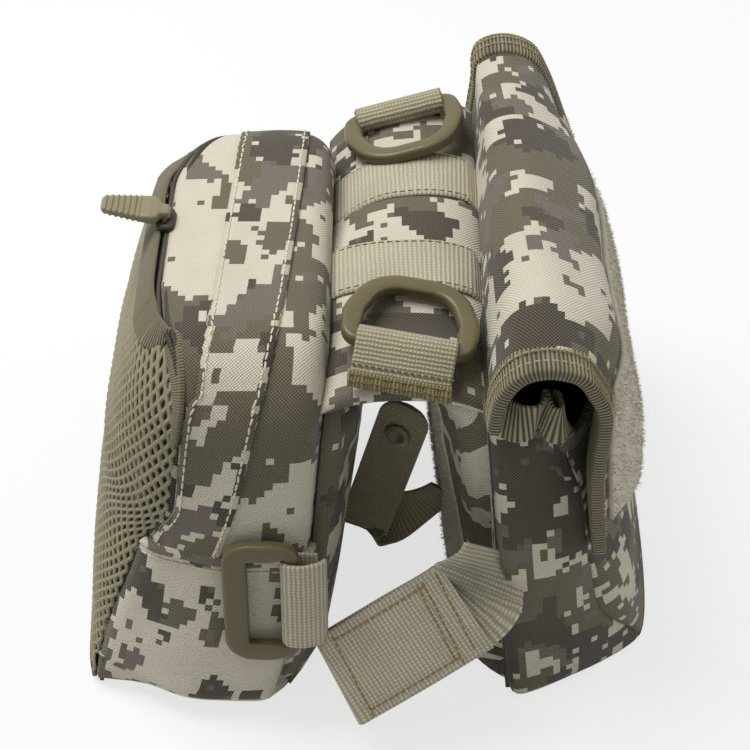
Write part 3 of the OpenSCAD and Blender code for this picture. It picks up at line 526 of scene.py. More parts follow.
def sweep(name, path, across, section, material, closed=False, wide=1.0, high=1.0):
    """A strap, tape or bar: a section carried along a path, its width along `across`.

    wide and high scale the section, with one number or one for each point of the path."""
    path = np.asarray(path, float)
    n = len(path)
    if closed:
        run = np.roll(path, -1, 0) - np.roll(path, 1, 0)
    else:
        run = np.gradient(path, axis=0)
    run = unit(run)
    across = np.broadcast_to(np.asarray(across, float), (n, 3))
    side = unit(across - run * np.sum(across * run, 1, keepdims=True))
    up = np.cross(run, side)
    scale = np.ones((n, 2))
    scale[:, 0] = wide
    scale[:, 1] = high
    sec = section[None] * scale[:, None]
    points = path[:, None] + side[:, None] * sec[..., :1] + up[:, None] * sec[..., 1:]
    m = len(section)
    quads, corners = grid_faces(n, m, closed, True)
    along = lengths(path, closed) * MM
    v = lengths(section, True) * MM
    uvs = np.stack([along[corners[..., 0]], v[corners[..., 1]]], 2)
    faces = [list(q) for q in quads]
    uv_list = uvs.reshape(-1, 2).tolist()
    if not closed:
        for row, order in ((0, 1), (n - 1, -1)):
            faces.append([row * m + k for k in range(m)][::order])
            uv_list += [(along[row], v[k]) for k in range(m)][::order]
    return make(name, put(points).reshape(-1, 3), faces, material, uv_list)


# rings of one stitch: place along it and share of its full width
GRAIN_RINGS = ((-0.5, 0.35), (-0.3, 1), (0.3, 1), (0.5, 0.35))
GRAIN_SIDES = 6


def grains(name, centres, run, out, size, material):
    """Many small rice-shaped stitches in one mesh. size is (length, width, height)."""
    a = np.linspace(0, 2 * math.pi, GRAIN_SIDES, endpoint=False)
    shape = np.array([(x * size[0], r * math.cos(t) * size[1] / 2, r * math.sin(t) * size[2] / 2)
                      for x, r in GRAIN_RINGS for t in a])
    side = unit(np.cross(out, run))
    out = np.cross(run, side)
    verts = (centres[:, None] + run[:, None] * shape[None, :, :1] + side[:, None] * shape[None, :, 1:2]
             + out[:, None] * shape[None, :, 2:])
    quads, _ = grid_faces(len(GRAIN_RINGS), GRAIN_SIDES, False, True)
    per = len(shape)
    one = [list(q) for q in quads]
    one += [list(range(GRAIN_SIDES))[::-1], list(range(per - GRAIN_SIDES, per))]
    faces = [[k * per + v for v in f] for k in range(len(centres)) for f in one]
    return make(name, put(verts).reshape(-1, 3), faces, material)


def sewn_rows(name, lines, pitch, size, material):
    """Sewn lines in one mesh: each is (points, normals or one normal), with one grain per stitch."""
    centres, runs, outs = [], [], []
    for points, normals in lines:
        s = lengths(points)
        t = np.arange(pitch / 2, s[-1], pitch)
        centres.append(follow(t, s, points))
        runs.append(unit(follow(t + 0.5, s, points) - follow(t - 0.5, s, points)))
        outs.append(unit(follow(t, s, np.broadcast_to(normals, points.shape))))
    return grains(name, np.concatenate(centres), np.concatenate(runs), np.concatenate(outs), size, material)


def stitches(name, body, slot, lines, pitch=3.6, size=(3.1, 0.8, 0.6), material=THREAD):
    return sew(sewn_rows(name, lines, pitch, size, material), body, slot)


# fibres of loop pile: half width at the root and bend, and how far the lean and length of each may differ
FIBRE_ROOT, FIBRE_BEND = 0.16, 0.12
FIBRE_SPREAD = 0.9
FIBRE_LENGTHS = (0.5, 1.2)


def fuzz(name, skin, count, length, body):
    """Short bent fibres scattered over a field of loop pile."""
    i = RNG.uniform(0, skin.n - 1, count)
    j = RNG.uniform(0, skin.m - 1, count)
    normals = skin.facing(i, j)
    lean = unit(normals + FIBRE_SPREAD * RNG.normal(size=(count, 3)))
    lean = unit(np.where(np.sum(lean * normals, 1, keepdims=True) < 0.15, normals + 0.3 * lean, lean))
    side = unit(np.cross(lean, RNG.normal(size=(count, 3))))
    reach = length * RNG.uniform(*FIBRE_LENGTHS, (count, 1))
    curl = unit(np.cross(side, lean)) * reach * RNG.uniform(-0.5, 0.5, (count, 1))
    root = skin.at(i, j) - normals * 0.1
    bend = root + lean * reach * 0.6
    verts = np.stack([root - side * FIBRE_ROOT, root + side * FIBRE_ROOT, bend + side * FIBRE_BEND,
                      bend - side * FIBRE_BEND, root + lean * reach + curl], 1)
    faces = [[5 * k + v for v in f] for k in range(count) for f in ((0, 1, 2, 3), (3, 2, 4))]
    return sew(make(name, put(verts).reshape(-1, 3), faces, PILE), body, "loop_pile")


def rounded_path(corners, radii, steps=14):
    """Points along straight lines from corner to corner, each rounded to its radius."""
    pts = []
    count = len(corners)
    for i, r in enumerate(radii):
        b = np.array(corners[i], float)
        if r == 0:
            pts.append(b)
            continue
        u = unit(np.array(corners[i - 1]) - b)
        v = unit(np.array(corners[(i + 1) % count]) - b)
        half = math.acos(np.clip(u @ v, -1, 1)) / 2
        centre = b + unit(u + v) * r / math.sin(half)
        start = b + u * r / math.tan(half) - centre
        end = b + v * r / math.tan(half) - centre
        a0 = math.atan2(start[1], start[0])
        turn = (math.atan2(end[1], end[0]) - a0 + math.pi) % (2 * math.pi) - math.pi
        for k in range(steps + 1):
            a = a0 + turn * k / steps
            pts.append(centre + r * np.array([math.cos(a), math.sin(a)]))
    return np.array(pts)


WALL_LOW = 0.4


def shell(loop, normals, back, sign, depth, gap, round_back, round_front, bulge, slant, rows):
    """Points of a pouch wall that runs round `loop` (y, z) and from its back to its front.

    sign is the way from back to front along X. The other sizes have one value for each place on the loop:
    depth to the front panel, gap left before it, radii of both rounded edges, swell and slant inward."""
    out = np.zeros((len(loop), rows + 1, 3))
    for k in range(rows + 1):
        d = (depth - gap) * k / rows
        s = depth - d
        inset = round_back * (1 - rim(d, round_back)) + round_front * (1 - rim(s, round_front))
        inset = inset + slant * (d / depth) ** 1.5
        swell = bulge * np.sin(math.pi * np.clip(d / depth, 0, 1)) ** 0.7
        yz = loop - normals * (inset - swell)[:, None]
        out[:, k, 0] = back(loop[:, 1]) + sign * d
        out[:, k, 1:] = yz
    out[..., 2] = np.maximum(out[..., 2], WALL_LOW)
    return out


def crease(points, out, amount, waves):
    """Moves a pouch wall in soft waves, each (along z, along x, phase, height)."""
    x, z = points[..., 0], points[..., 2]
    rise = sum(high * np.sin(z * along + x * across + phase) for along, across, phase, high in waves)
    points[..., 1:] += out[:, None] * (rise * amount[:, None])[..., None]


def panel_grid(t, near, far, z):
    """Grids of y and z over a panel: t runs from -1 at its near side to 1 at its far side."""
    return (near + far) / 2 + t[:, None] * (far - near) / 2, np.repeat(z[None], len(t), 0)


def ribs(path, pitch, high):
    """Scale along a path that is ribbed across."""
    return 1 + high * np.sin(lengths(path) * 2 * math.pi / pitch)


PUFF_PRESSURE = 4.0
PUFF_FRAMES = 20


def puff(obj, held, cap):
    """Swells a padded piece by a short cloth simulation that keeps its held points.

    cap is how far a point may move. Returns the points in millimetres."""
    mesh = obj.data
    points = np.zeros(3 * len(mesh.vertices))
    mesh.vertices.foreach_get("co", points)
    points = points.reshape(-1, 3)
    work = bpy.data.objects.new(obj.name + "_work", mesh.copy())
    bpy.context.collection.objects.link(work)
    work.vertex_groups.new(name="held").add(np.flatnonzero(held).tolist(), 1.0, "REPLACE")
    mod = work.modifiers.new("cloth", "CLOTH")
    mod.settings.use_pressure = True
    mod.settings.uniform_pressure_force = PUFF_PRESSURE
    mod.settings.vertex_group_mass = "held"
    mod.settings.effector_weights.gravity = 0.0
    mod.collision_settings.use_collision = False
    for step in range(1, PUFF_FRAMES + 1):
        bpy.context.scene.frame_set(step)
    swollen = np.zeros(points.size)
    result = work.evaluated_get(bpy.context.evaluated_depsgraph_get()).data
    result.vertices.foreach_get("co", swollen)
    move = swollen.reshape(-1, 3) - points
    far = np.maximum(np.linalg.norm(move, axis=1, keepdims=True), 1e-9)
    points = points + move / far * cap * MM * np.tanh(far / (cap * MM))
    mesh.vertices.foreach_set("co", points.ravel())
    mesh.update()
    bpy.data.objects.remove(work)
    bpy.context.scene.frame_set(1)
    return (points - OFFSET) / MM


def border(shape, rows=2):
    """True along the border of a grid of points."""
    held = np.ones(shape, bool)
    held[rows:-rows, rows:-rows] = False
    return held.ravel()


# Zipped pouch

ZIP_BASE, ZIP_TOP = 110.0, 83.0
ZIP_RADII = [0, 14, 36, 34, 14]
ZIP_ROWS = 30
ZIP_INSIDE = (-60.0, ZIP_MID, 75.0)
WALL_CLOTH = 2.2
ZIP_CREASES = ((0.11, 0.05, 0.0, 0.7), (0.045, -0.16, 1.3, 0.6))
ZIP_CORNERS = [(0, 0), (-ZIP_BASE, 0), (-ZIP_TOP, ZIP_H), (ZIP_TOP, ZIP_H), (ZIP_BASE, 0)]
zip_loop = resample(rounded_path(ZIP_CORNERS, ZIP_RADII), 260, closed=True)
zip_run = unit(np.roll(zip_loop, -1, 0) - np.roll(zip_loop, 1, 0))
zip_out = np.stack([-zip_run[:, 1], zip_run[:, 0]], 1)
zip_places = np.arange(len(zip_loop))
zy, zz = zip_loop[:, 0], zip_loop[:, 1]
# how far each place on the loop belongs to the walls, the top and the foot, 0 to 1
wall = np.abs(zip_out[:, 0])
top = np.clip(zip_out[:, 1], 0, 1)
foot = np.clip(-zip_out[:, 1], 0, 1)


def by_part(on_wall, on_top, on_foot):
    """A size for each place on the loop, from its sizes on the walls, the top and the foot."""
    return wall * on_wall + top * on_top + foot * on_foot


zip_half = ZIP_BASE - (ZIP_BASE - ZIP_TOP) * zz / ZIP_H
zip_taper = np.where(zy > 0, 15.0, 6.0) * (zz / ZIP_H) * smooth((np.abs(zy) / zip_half - 0.35) / 0.65)
zip_depth = ZIP_DEPTH - zip_taper + foot_reach(zz)
zip_gap = by_part(3 + 8 * smooth((zz - 75) / 25), 5, 3)
zip_bulge = by_part(5 * np.sin(math.pi * np.clip(zz / 150, 0, 1)) ** 0.8, 1.5 * (1 - (zy / 90) ** 2), 0)
zip_slant = wall * np.where(zy < 0, 18.0, 8.0) * (1 - zz / 170)
zip_points = shell(zip_loop, zip_out, zip_back, -1, zip_depth, zip_gap, by_part(7, 10, 4),
                   by_part(5 + 10 * np.clip(zz / 100, 0, 1), 7, 4), zip_bulge, zip_slant, ZIP_ROWS)
zip_points[..., 1] += ZIP_MID
# the near wall's foot bellies toward the viewer, and its back edge is drawn forward
inward = np.linspace(0.12, 1, ZIP_ROWS + 1)[None]
near_foot = (wall * (zy < 0) * smooth((70 - zz) / 70))[:, None]
zip_points[..., 1] -= 9.0 * near_foot * np.sin(math.pi * inward)
zip_points[..., 0] -= 12.0 * near_foot * (1 - inward) ** 2
crease(zip_points, zip_out, wall, ZIP_CREASES)
zip_skin = Surface(zip_points, ZIP_INSIDE, closed=True)
sew(cloth("left_pouch_walls", zip_points, CAMO, ZIP_INSIDE, closed=True, uv_shift=(40, 10), thick=WALL_CLOTH,
          lining=DARK_CLOTH), "left_pouch", "camo_cloth", "left_gusset")


def wall_rows(z, near=True):
    """Index along the zipped pouch's loop where the near or far wall is at height z."""
    side = np.where((zy < 0) == near)[0]
    side = side[(zz[side] > 2) & (zz[side] < ZIP_H - 2)]
    order = side[np.argsort(zz[side])]
    return float(np.interp(z, zz[order], order))


def loop_place(i):
    """Nearest point of the loop to the place i along it."""
    return np.mod(np.round(i).astype(int), len(zip_loop))


def band_row(depth, i):
    """Row index at a distance from the back panel, for each place i along the loop."""
    return depth / (zip_depth - zip_gap)[loop_place(i)] * ZIP_ROWS


# base patch over the foot of the walls, with a folded hem
HEM_Z = 80.0
HEM_ABOVE, HEM_BELOW = 1.2, 4.2
HEM_SEWN = 6.0
BASE_LIFT, BASE_CLOTH, BASE_LOW = 1.1, 1.3, 0.3
hem_near, hem_far = wall_rows(HEM_Z), wall_rows(HEM_Z, False)
base_j = np.linspace(0, ZIP_ROWS, ZIP_ROWS + 1)
base_points = zip_skin.at(*grid(np.linspace(hem_far - len(zip_loop), hem_near, 150), base_j), BASE_LIFT)
base_points[..., 2] = np.maximum(base_points[..., 2], BASE_LOW)
sew(cloth("left_base_cloth", base_points, CAMO, ZIP_INSIDE, uv_shift=(35, 619), thick=BASE_CLOTH),
    "left_pouch", "camo_cloth", "left_base_patch")
hem_lift = 0.3 + 2.2 * np.sin(np.linspace(0, math.pi, 9)) ** 0.6
hem_j = np.linspace(0.5, ZIP_ROWS - 0.5, 60)
hem_lines = []
for end, near in (("near", True), ("far", False)):
    hem_i = np.linspace(wall_rows(HEM_Z + HEM_ABOVE, near), wall_rows(HEM_Z - HEM_BELOW, near), len(hem_lift))
    hem_points = zip_skin.at(*grid(hem_i, base_j), hem_lift[:, None])
    sew(cloth("left_base_hem_" + end, hem_points, CAMO, ZIP_INSIDE, uv_shift=(255, 8), thick=2.0),
        "left_pouch", "camo_cloth")
    sewn_i = wall_rows(HEM_Z - HEM_SEWN, near)
    hem_lines.append((zip_skin.at(sewn_i, hem_j, 1.3), zip_skin.facing(sewn_i, hem_j)))
stitches("left_base_hem_stitches", "left_pouch", "camo_cloth", hem_lines)

# storm band over the walls and top: the depths of its edges at ways round the top and down the walls
BAND_WAY = [-163, -152, -131, -109, -91, -40, 0, 55, 83, 163]
BAND_BACK = [34.5, 31.6, 27.6, 24.6, 21.5, 16.3, 13.5, 10.7, 10.0, 18.0]
BAND_FRONT = [60.0, 58.0, 54.6, 52.0, 46.3, 43.4, 41.6, 39.0, 38.0, 44.0]
BAND_LIFT, BAND_CLOTH, BAND_STRIPS = 1.2, 1.4, 8
BAND_SEWN, BAND_SEWN_LIFT = 2.0, 1.4


def band_edges(i):
    """Depths of the band's two edges: it runs forward from the far top to the near foot."""
    k = loop_place(i)
    way = np.clip(zy[k], -ZIP_TOP, ZIP_TOP) + np.sign(zy[k]) * (ZIP_H - zz[k])
    front = np.minimum(np.interp(way, BAND_WAY, BAND_FRONT), (zip_depth - zip_gap)[k] - 0.8)
    return np.interp(way, BAND_WAY, BAND_BACK), front


band_i = np.linspace(hem_near - 2, hem_far + 2, 190)
band_low, band_high = band_edges(band_i)
band_depths = [band_low + (band_high - band_low) * k / BAND_STRIPS for k in range(BAND_STRIPS + 1)]
band_points = np.stack([zip_skin.at(band_i, band_row(d, band_i), BAND_LIFT) for d in band_depths], 1)
sew(cloth("storm_band_cloth", band_points, CAMO, ZIP_INSIDE, uv_shift=(20, 200), thick=BAND_CLOTH),
    "left_pouch", "camo_cloth", "storm_band")
band_rows = [band_row(d, band_i) for d in (band_low + BAND_SEWN, band_high - BAND_SEWN)]
stitches("storm_band_stitches", "left_pouch", "camo_cloth",
         [(zip_skin.at(band_i, row, BAND_SEWN_LIFT), zip_skin.facing(band_i, row)) for row in band_rows])

# back panel with its pad
CUSHION_CLOTH = 2.0
CUSHION_CAP = 6.0
CUSHION_BASE, CUSHION_SHARE = 0.6, 0.95
ZIP_CUSHION_OVER = 1.3
upright = (wall > 0.2) | (top > 0.2)
zip_near, zip_far = upright & (zy < 0), upright & (zy > 0)
back_ring = zip_points[:, 0]
near_back, far_back = ordered(back_ring[zip_near]), ordered(back_ring[zip_far])
left_z = np.linspace(back_ring[:, 2].min() - 2.4, back_ring[:, 2].max() - 0.05, 76)
left_t = np.linspace(-1, 1, 90)
near_y = at_height(left_z, near_back, 1) - ZIP_CUSHION_OVER
far_y = at_height(left_z, far_back, 1) + ZIP_CUSHION_OVER
left_yg, left_zg = panel_grid(left_t, near_y, far_y, left_z)
from_end = (1 - np.abs(left_t))[:, None] * (far_y - near_y)[None] / 2


def zip_swell(y, z):
    """How far the pad stands out of the back panel."""
    full = 11 + 4 * np.clip((z - 24) / 104, 0, 1)
    rise = rim(z - left_z[0], 12) * rim(140 - z, 12)
    lumps = 1 + 0.05 * np.sin(y * 0.09 + 0.8) * np.sin(z * 0.07)
    return full * rim(from_end - 0.5, 22) * rise * lumps


settled = np.where(left_t[:, None] < 0, smooth(from_end / 26.0), 1.0)
back_x = at_height(left_z, near_back, 0)[None] * (1 - settled) + zip_back(left_zg) * settled
back_points = xyz(back_x + CUSHION_BASE + CUSHION_SHARE * zip_swell(left_yg, left_zg), left_yg, left_zg)
left_back = cloth("left_back_cushion", back_points, CAMO, ZIP_INSIDE, uv_shift=(410, 300),
                  thick=CUSHION_CLOTH, lining=DARK_CLOTH)
puff(left_back, border(back_points.shape[:2]), CUSHION_CAP)
sew(left_back, "left_pouch", "camo_cloth", "left_back_cover", "left_back_foam", "left_back_lining",
    "left_back_pad")

# zipped front panel
edge_ring = zip_points[:, -1]
near_edge, far_edge = ordered(edge_ring[zip_near]), ordered(edge_ring[zip_far])
top_edge = ordered(edge_ring[zip_out[:, 1] > 0.3], 1)
FRONT_LOW = 1.0
FRONT_HIGH = float(edge_ring[:, 2].max()) - 0.2
FRONT_CLOTH = 1.6


def front_sides(z):
    return at_height(z, near_edge, 1), at_height(z, far_edge, 1)


def front_x(y, z, lift=0.0, foot_round=True):
    """X of the front panel, which meets the walls at its edges and stands out by `lift` in its middle."""
    near, far = front_sides(z)
    a = np.abs((2 * y - near - far) / np.maximum(far - near, 1))
    b = 2 * (z - FRONT_LOW) / (FRONT_HIGH - FRONT_LOW) - 1
    edge = np.where(2 * y < near + far, at_height(z, near_edge, 0), at_height(z, far_edge, 0))
    over = np.clip(b, 0, 1) ** 8 / (a ** 5 + np.clip(b, 0, 1) ** 8 + 1e-6)
    edge = edge * (1 - over) + np.interp(y, top_edge[:, 1], top_edge[:, 0]) * over
    b = np.abs(b) if foot_round else np.clip(b, 0, 1)
    rho = np.clip((a ** 5 + b ** 8) ** 0.2, 0, 1)
    e = 1 - np.sqrt(np.clip(1 - rho ** 4, 0, 1))
    return (zip_front(z) - foot_reach(z) - 1.0) * (1 - e) + edge * e - lift * (1 - rho ** 4)


# two bodies, and where a piece starts and stops bending between them: the front's foot and the flap's crest
FOOT_X, FOOT_BEND = -114.0, 30.0
FRONT_HINGE = ("left_pouch", "zip_front", put((FOOT_X, ZIP_MID, FRONT_LOW)),
               put((FOOT_X, ZIP_MID, FRONT_LOW + FOOT_BEND)))
CREST_HINGE = ("right_pouch", "lid", put((50.0, 0.0, CREST_Z)), put((73.0, 0.0, CREST_Z)))


def hinged(obj, hinge, slot, *nodes):
    """Hides the nodes that a piece stands for and bakes its place into its points."""
    if nodes:
        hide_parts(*nodes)
    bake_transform(obj)


front_z = FRONT_LOW + (FRONT_HIGH - FRONT_LOW) * (0.5 - 0.5 * np.cos(np.linspace(0, math.pi, 70)))
front_yg, front_zg = panel_grid(np.linspace(-1, 1, 90), *front_sides(front_z), front_z)
hinged(cloth("left_front_cloth", xyz(front_x(front_yg, front_zg), front_yg, front_zg), CAMO, ZIP_INSIDE,
             uv_shift=(120, 420), thick=FRONT_CLOTH, lining=DARK_CLOTH),
       FRONT_HINGE, "camo_cloth", "left_front_panel")

# zip: two ribbed coils along the seam between wall and front, sunk deeper below the top
COIL_POINTS = 900
COIL_APART = 1.3
coil_section = oval_section(2.1, 2.0, 2.4, 10)
coil_i = np.linspace(hem_near, hem_far, COIL_POINTS)
coil_seam = follow(coil_i, zip_places, edge_ring)
coil_out = np.column_stack([np.zeros(COIL_POINTS), follow(coil_i, zip_places, zip_out)])
coil_seam = coil_seam - coil_out * (1.2 + 3.2 * smooth((140 - coil_seam[:, 2:]) / 14))
coil_ribs = 1 + 0.16 * np.sin(np.arange(COIL_POINTS) * math.pi / 2)
for name, body, way in (("zip_coil_fixed", "left_pouch", 1), ("zip_coil_front", "zip_front", -1)):
    sew(sweep(name + "_teeth", coil_seam + (way * COIL_APART, 0, 0), (1, 0, 0), coil_section, COIL,
              wide=coil_ribs, high=coil_ribs), body, "zip_coil", name)

# mesh pocket: knitted bands of yarn that wave apart round oval holes
MESH_FOOT, MESH_TOP, MESH_STEP = 5.0, 157.0, 0.5
MESH_OUT = 1.2
MESH_LIFT = ((0, -7.0), (4, -2.5), (10, 0.5), (25, 2.5), (40, 5.5), (70, 11.5), (95, 14.3), (115, 11.0),
             (135, 7.0), (150, 4.5), (160, 4.0))
BANDS = 84
BAND_WAVE, BAND_PERIOD = 0.8, 6.4
YARN_ACROSS = np.array([-0.88, -0.48, 0.0, 0.48, 0.88])
YARN_RISE = np.array([-0.35, 0.2, 0.36, 0.2, -0.35])
YARN_TWIST, TWIST_PERIOD, TWIST_STEP = 0.14, 2.6, 2.1
YARN_THICK = 0.5


def mesh_x(y, z):
    return front_x(y, z, profile(z, MESH_LIFT), foot_round=False) - MESH_OUT


def mesh_at(i, off):
    """A point of the pocket at a distance in from the zip, for places i along the loop."""
    yz = follow(i, zip_places, edge_ring[:, 1:]) - off[:, None] * follow(i, zip_places, zip_out)
    return xyz(mesh_x(yz[:, 0], yz[:, 1]), yz[:, 0], yz[:, 1])


MOUTH_POINTS, MOUTH_Z = 420, 128.0
mouth_i = np.linspace(wall_rows(MOUTH_Z), wall_rows(MOUTH_Z, False), MOUTH_POINTS)
mouth_t = np.linspace(0, 1, MOUTH_POINTS)
mouth_in = profile(mouth_t, ((0, 0.0), (0.07, 0.3), (0.14, 2.4), (0.25, 5.6), (1, 5.6)))
mouth_path = mesh_at(mouth_i, mouth_in)
mouth_line = ordered(mouth_path, 1)
row_z = np.arange(MESH_FOOT, MESH_TOP, MESH_STEP)
columns = len(YARN_ACROSS)
band = np.arange(BANDS)
ways = np.where(band % 2 == 0, 1, -1) * BAND_WAVE
even = 0.5 - 0.5 * np.cos(np.linspace(0.04, math.pi - 0.04, 500))
knit = np.zeros((len(row_z), BANDS, columns, 3))
for r, z in enumerate(row_z):
    near, far = front_sides(max(z, 3.0))
    y = near + (far - near) * even
    x = mesh_x(y, z)
    s = lengths(np.stack([x, y], 1))
    wave = ways * math.cos(2 * math.pi * z / BAND_PERIOD)
    at = np.clip((band + 0.5)[:, None] / BANDS * s[-1] + wave[:, None] + YARN_ACROSS[None], 0, s[-1])
    yarn_x, yarn_y, slope = (np.interp(at, s, field) for field in (x, y, np.gradient(x, y)))
    twist = YARN_TWIST * np.sin(2 * math.pi * z / TWIST_PERIOD + TWIST_STEP * np.arange(columns))
    knit[r] = xyz(yarn_x, yarn_y, z) + unit(xyz(-1.0, slope, 0.0)) * (YARN_RISE + twist)[:, None]
# each band ends where it meets the pocket's mouth
row_size = BANDS * columns
knit_faces = []
for c in range(BANDS):
    mouth_z = np.interp(knit[:, c, columns // 2, 1], mouth_line[:, 1], mouth_line[:, 2])
    keep = int(np.searchsorted(row_z - mouth_z, 0.0))
    rows = np.arange(max(keep - 1, 0))[:, None] * row_size
    base = (rows + c * columns + np.arange(columns - 1)).ravel()
    knit_faces.append(np.stack([base, base + 1, base + row_size + 1, base + row_size], 1))
used, knit_faces = np.unique(np.concatenate(knit_faces), return_inverse=True)
net = make("mesh_pocket", put(knit.reshape(-1, 3)[used]), knit_faces.reshape(-1, 4), MESH)
thicken(net, YARN_THICK, 0.0)
hinged(net, FRONT_HINGE, "mesh_cloth", "mesh_panel", "mesh_gusset")

# ribbed tape on the pocket mouth, and tape along the pocket's foot
mouth_side = mesh_at(mouth_i, mouth_in - 4) - mesh_at(mouth_i, mouth_in + 4)
mouth_wide = profile(mouth_t, ((0, 0.25), (0.1, 0.45), (0.24, 1), (0.95, 1), (1, 0.5)))
sew(sweep("mesh_mouth_tape", mouth_path + (-0.8, 0, 0.6), mouth_side, round_section(13.0, 2.2), KNIT_TAPE,
          wide=mouth_wide), "zip_front", "ribbed_tape", "mesh_binding")
FOOT_TAPE_Z = 6.0
foot_near, foot_far = front_sides(FOOT_TAPE_Z)
foot_y = np.linspace(foot_near + 2, foot_far - 2, 300)
foot_path = xyz(mesh_x(foot_y, FOOT_TAPE_Z) + 0.2, foot_y, FOOT_TAPE_Z - 0.8)
foot_side = xyz(mesh_x(foot_y, 9.0) - mesh_x(foot_y, 2.0), 0.0, 7.0)
hinged(sweep("mesh_foot_tape", foot_path, foot_side, round_section(8.0, 2.2), TAPE), FRONT_HINGE,
       "ribbed_tape")

# slider and moulded pull: shapes as (along Y, share of full width) and (along Y, height)
slider_low, slider_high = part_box("zip_slider")
SLIDER = (np.array([(slider_low.x + slider_high.x) / 2, (slider_low.y + slider_high.y) / 2, 0]) - OFFSET) / MM
SLIDER_Z = 161.2
SLIDER_PLATE = np.array([(-7.0, 0.55), (-5.5, 0.9), (-2, 1.0), (3, 1.0), (5.2, 0.8), (6.2, 0.5)])
SLIDER_ARCH = np.array([(-4, 161.5), (-3.8, 163.6), (-2.2, 164.7), (0, 164.9), (2.2, 164.7), (3.8, 163.6),
                        (4, 161.5)])
path = xyz(SLIDER[0], SLIDER[1] + SLIDER_PLATE[:, 0], SLIDER_Z)
sew(sweep("zip_slider_body", path, (1, 0, 0), oval_section(8.0, 3.0, 3.2), COIL, wide=SLIDER_PLATE[:, 1]),
    "slider", "zip_coil", "zip_slider")
path = spline(xyz(SLIDER[0], SLIDER[1] + SLIDER_ARCH[:, 0], SLIDER_ARCH[:, 1]), 6)
sew(sweep("zip_slider_bail", path, (1, 0, 0), oval_section(1.9, 1.6, 2.2, 12), COIL), "slider", "zip_coil")
PULL_Z, PULL_LEN, PULL_BACK = 164.6, 27.0, 2.2
PULL_TILT = math.radians(9)
PULL_RIBS = 12
reach = np.linspace(0, 1, 160)
path = xyz(SLIDER[0] + PULL_BACK - reach * PULL_LEN * math.cos(PULL_TILT), SLIDER[1],
           PULL_Z + reach * PULL_LEN * math.sin(PULL_TILT))
pull_wide = profile(reach, ((0, 0.3), (0.03, 0.42), (0.1, 0.45), (0.14, 0.5), (0.2, 0.9), (0.26, 1.0),
                            (0.4, 1.0), (0.9, 0.7), (0.97, 0.6), (1.0, 0.4)))
pull_high = profile(reach, ((0, 0.5), (0.04, 0.9), (0.14, 0.9), (0.2, 1.05), (0.3, 1.1), (0.42, 0.9),
                            (0.9, 0.72), (0.97, 0.6), (1.0, 0.3)))
grip_ribs = 0.3 * np.clip(np.sin(reach * 2 * math.pi * PULL_RIBS), -0.3, 0.8)
pull_high = pull_high + np.where((reach > 0.44) & (reach < 0.95), grip_ribs, 0)
sew(sweep("zip_pull_grip", path, (0, 1, 0), oval_section(14.0, 4.2, 5.0, 32), PULL_PLASTIC, wide=pull_wide,
          high=pull_high), "pull", "moulded_plastic", "zip_pull")

# loop buckle and the webbing that holds it, flat along the wall
BUCKLE_BAR = np.array([-31.2, -117.9, 65.1])
BUCKLE_LEAN = unit((0, 0.1856, 0.9826))
BUCKLE_OUT = unit((0, -0.9826, 0.1856))
BUCKLE_LONG, BUCKLE_HALF = 22.0, 24.0
BUCKLE_ARCH = 0.7
BUCKLE_CORNERS = [(0, -BUCKLE_HALF), (0, BUCKLE_HALF),
                  (-BUCKLE_LONG, BUCKLE_HALF), (-BUCKLE_LONG, -BUCKLE_HALF)]
flat = resample(rounded_path(BUCKLE_CORNERS, [4, 4, 6, 6]), 120, closed=True)
path = BUCKLE_BAR + xyz(flat[:, 0], 0, 0) + flat[:, 1:] * BUCKLE_LEAN
side = unit(path - path.mean(0))
bar_wide = profile(flat[:, 0], ((-22.0, 1.2), (-19.0, 1.0), (-8.0, 1.0), (-3.0, 0.75), (0.0, 0.7)))
path = path + BUCKLE_OUT * (BUCKLE_ARCH * np.cos((2 * flat[:, :1] / BUCKLE_LONG + 1) * math.pi / 2))
sew(sweep("loop_buckle_frame", path, side, oval_section(8.0, 5.4, 4.0, 28), PLASTIC, closed=True,
          wide=bar_wide), "buckle", "moulded_plastic", "loop_buckle")
LOOP_R = 3.9
wrap = [(9.5, -LOOP_R + 0.4), (4, -LOOP_R - 0.2)]
wrap += [(LOOP_R * math.cos(a), LOOP_R * math.sin(a)) for a in np.radians(np.linspace(270, 90, 14))]
wrap += [(4, LOOP_R + 0.2), (9.5, LOOP_R - 1.6), (12.5, LOOP_R - 4.5)]
wrap = resample(spline(wrap, 5), 70)
path = BUCKLE_BAR + xyz(wrap[:, 0], 0, 0) + wrap[:, 1:] * BUCKLE_OUT
sew(sweep("buckle_webbing", path, BUCKLE_LEAN, round_section(40.0, 1.8), FINE_WEBBING),
    "left_pouch", "webbing", "buckle_loop")


# Bridge

BRIDGE_NEAR, BRIDGE_FAR = -90.0, 88.0
BRIDGE_MID, BRIDGE_HALF, BRIDGE_EDGE = 11.0, 31.0, 31.5
BRIDGE_Z, BRIDGE_CROWN, BRIDGE_THICK = 146.6, 8.0, 7.2
BRIDGE_END_R = 4.0
BRIDGE_CAP = 3.0


def bridge_top(x, y):
    """Height of the crown, which at the far end is lower on the zipped pouch's side."""
    crown = BRIDGE_Z + BRIDGE_CROWN * np.clip(1 - np.abs((x - BRIDGE_MID) / BRIDGE_EDGE) ** 2.6, -0.6, 1)
    off = (x - BRIDGE_MID) / 29.0
    lean = -10.0 * np.clip(-off, 0, 1.1) ** 1.5 + 4.0 * np.clip(off, 0, 1)
    return crown + lean * smooth((y + 25) / 60.0)


def bridge_mid(x, y):
    """Middle height of the pad, which sags at its near end and under the near ring."""
    soft = 0.5 * np.sin(y * 0.06 + x * 0.05)
    sag = 6.0 * smooth((-68 - y) / 20.0) + 3.0 * np.exp(-((y + 58) / 13.0) ** 2)
    return bridge_top(x, y) - BRIDGE_THICK / 2 + soft - sag


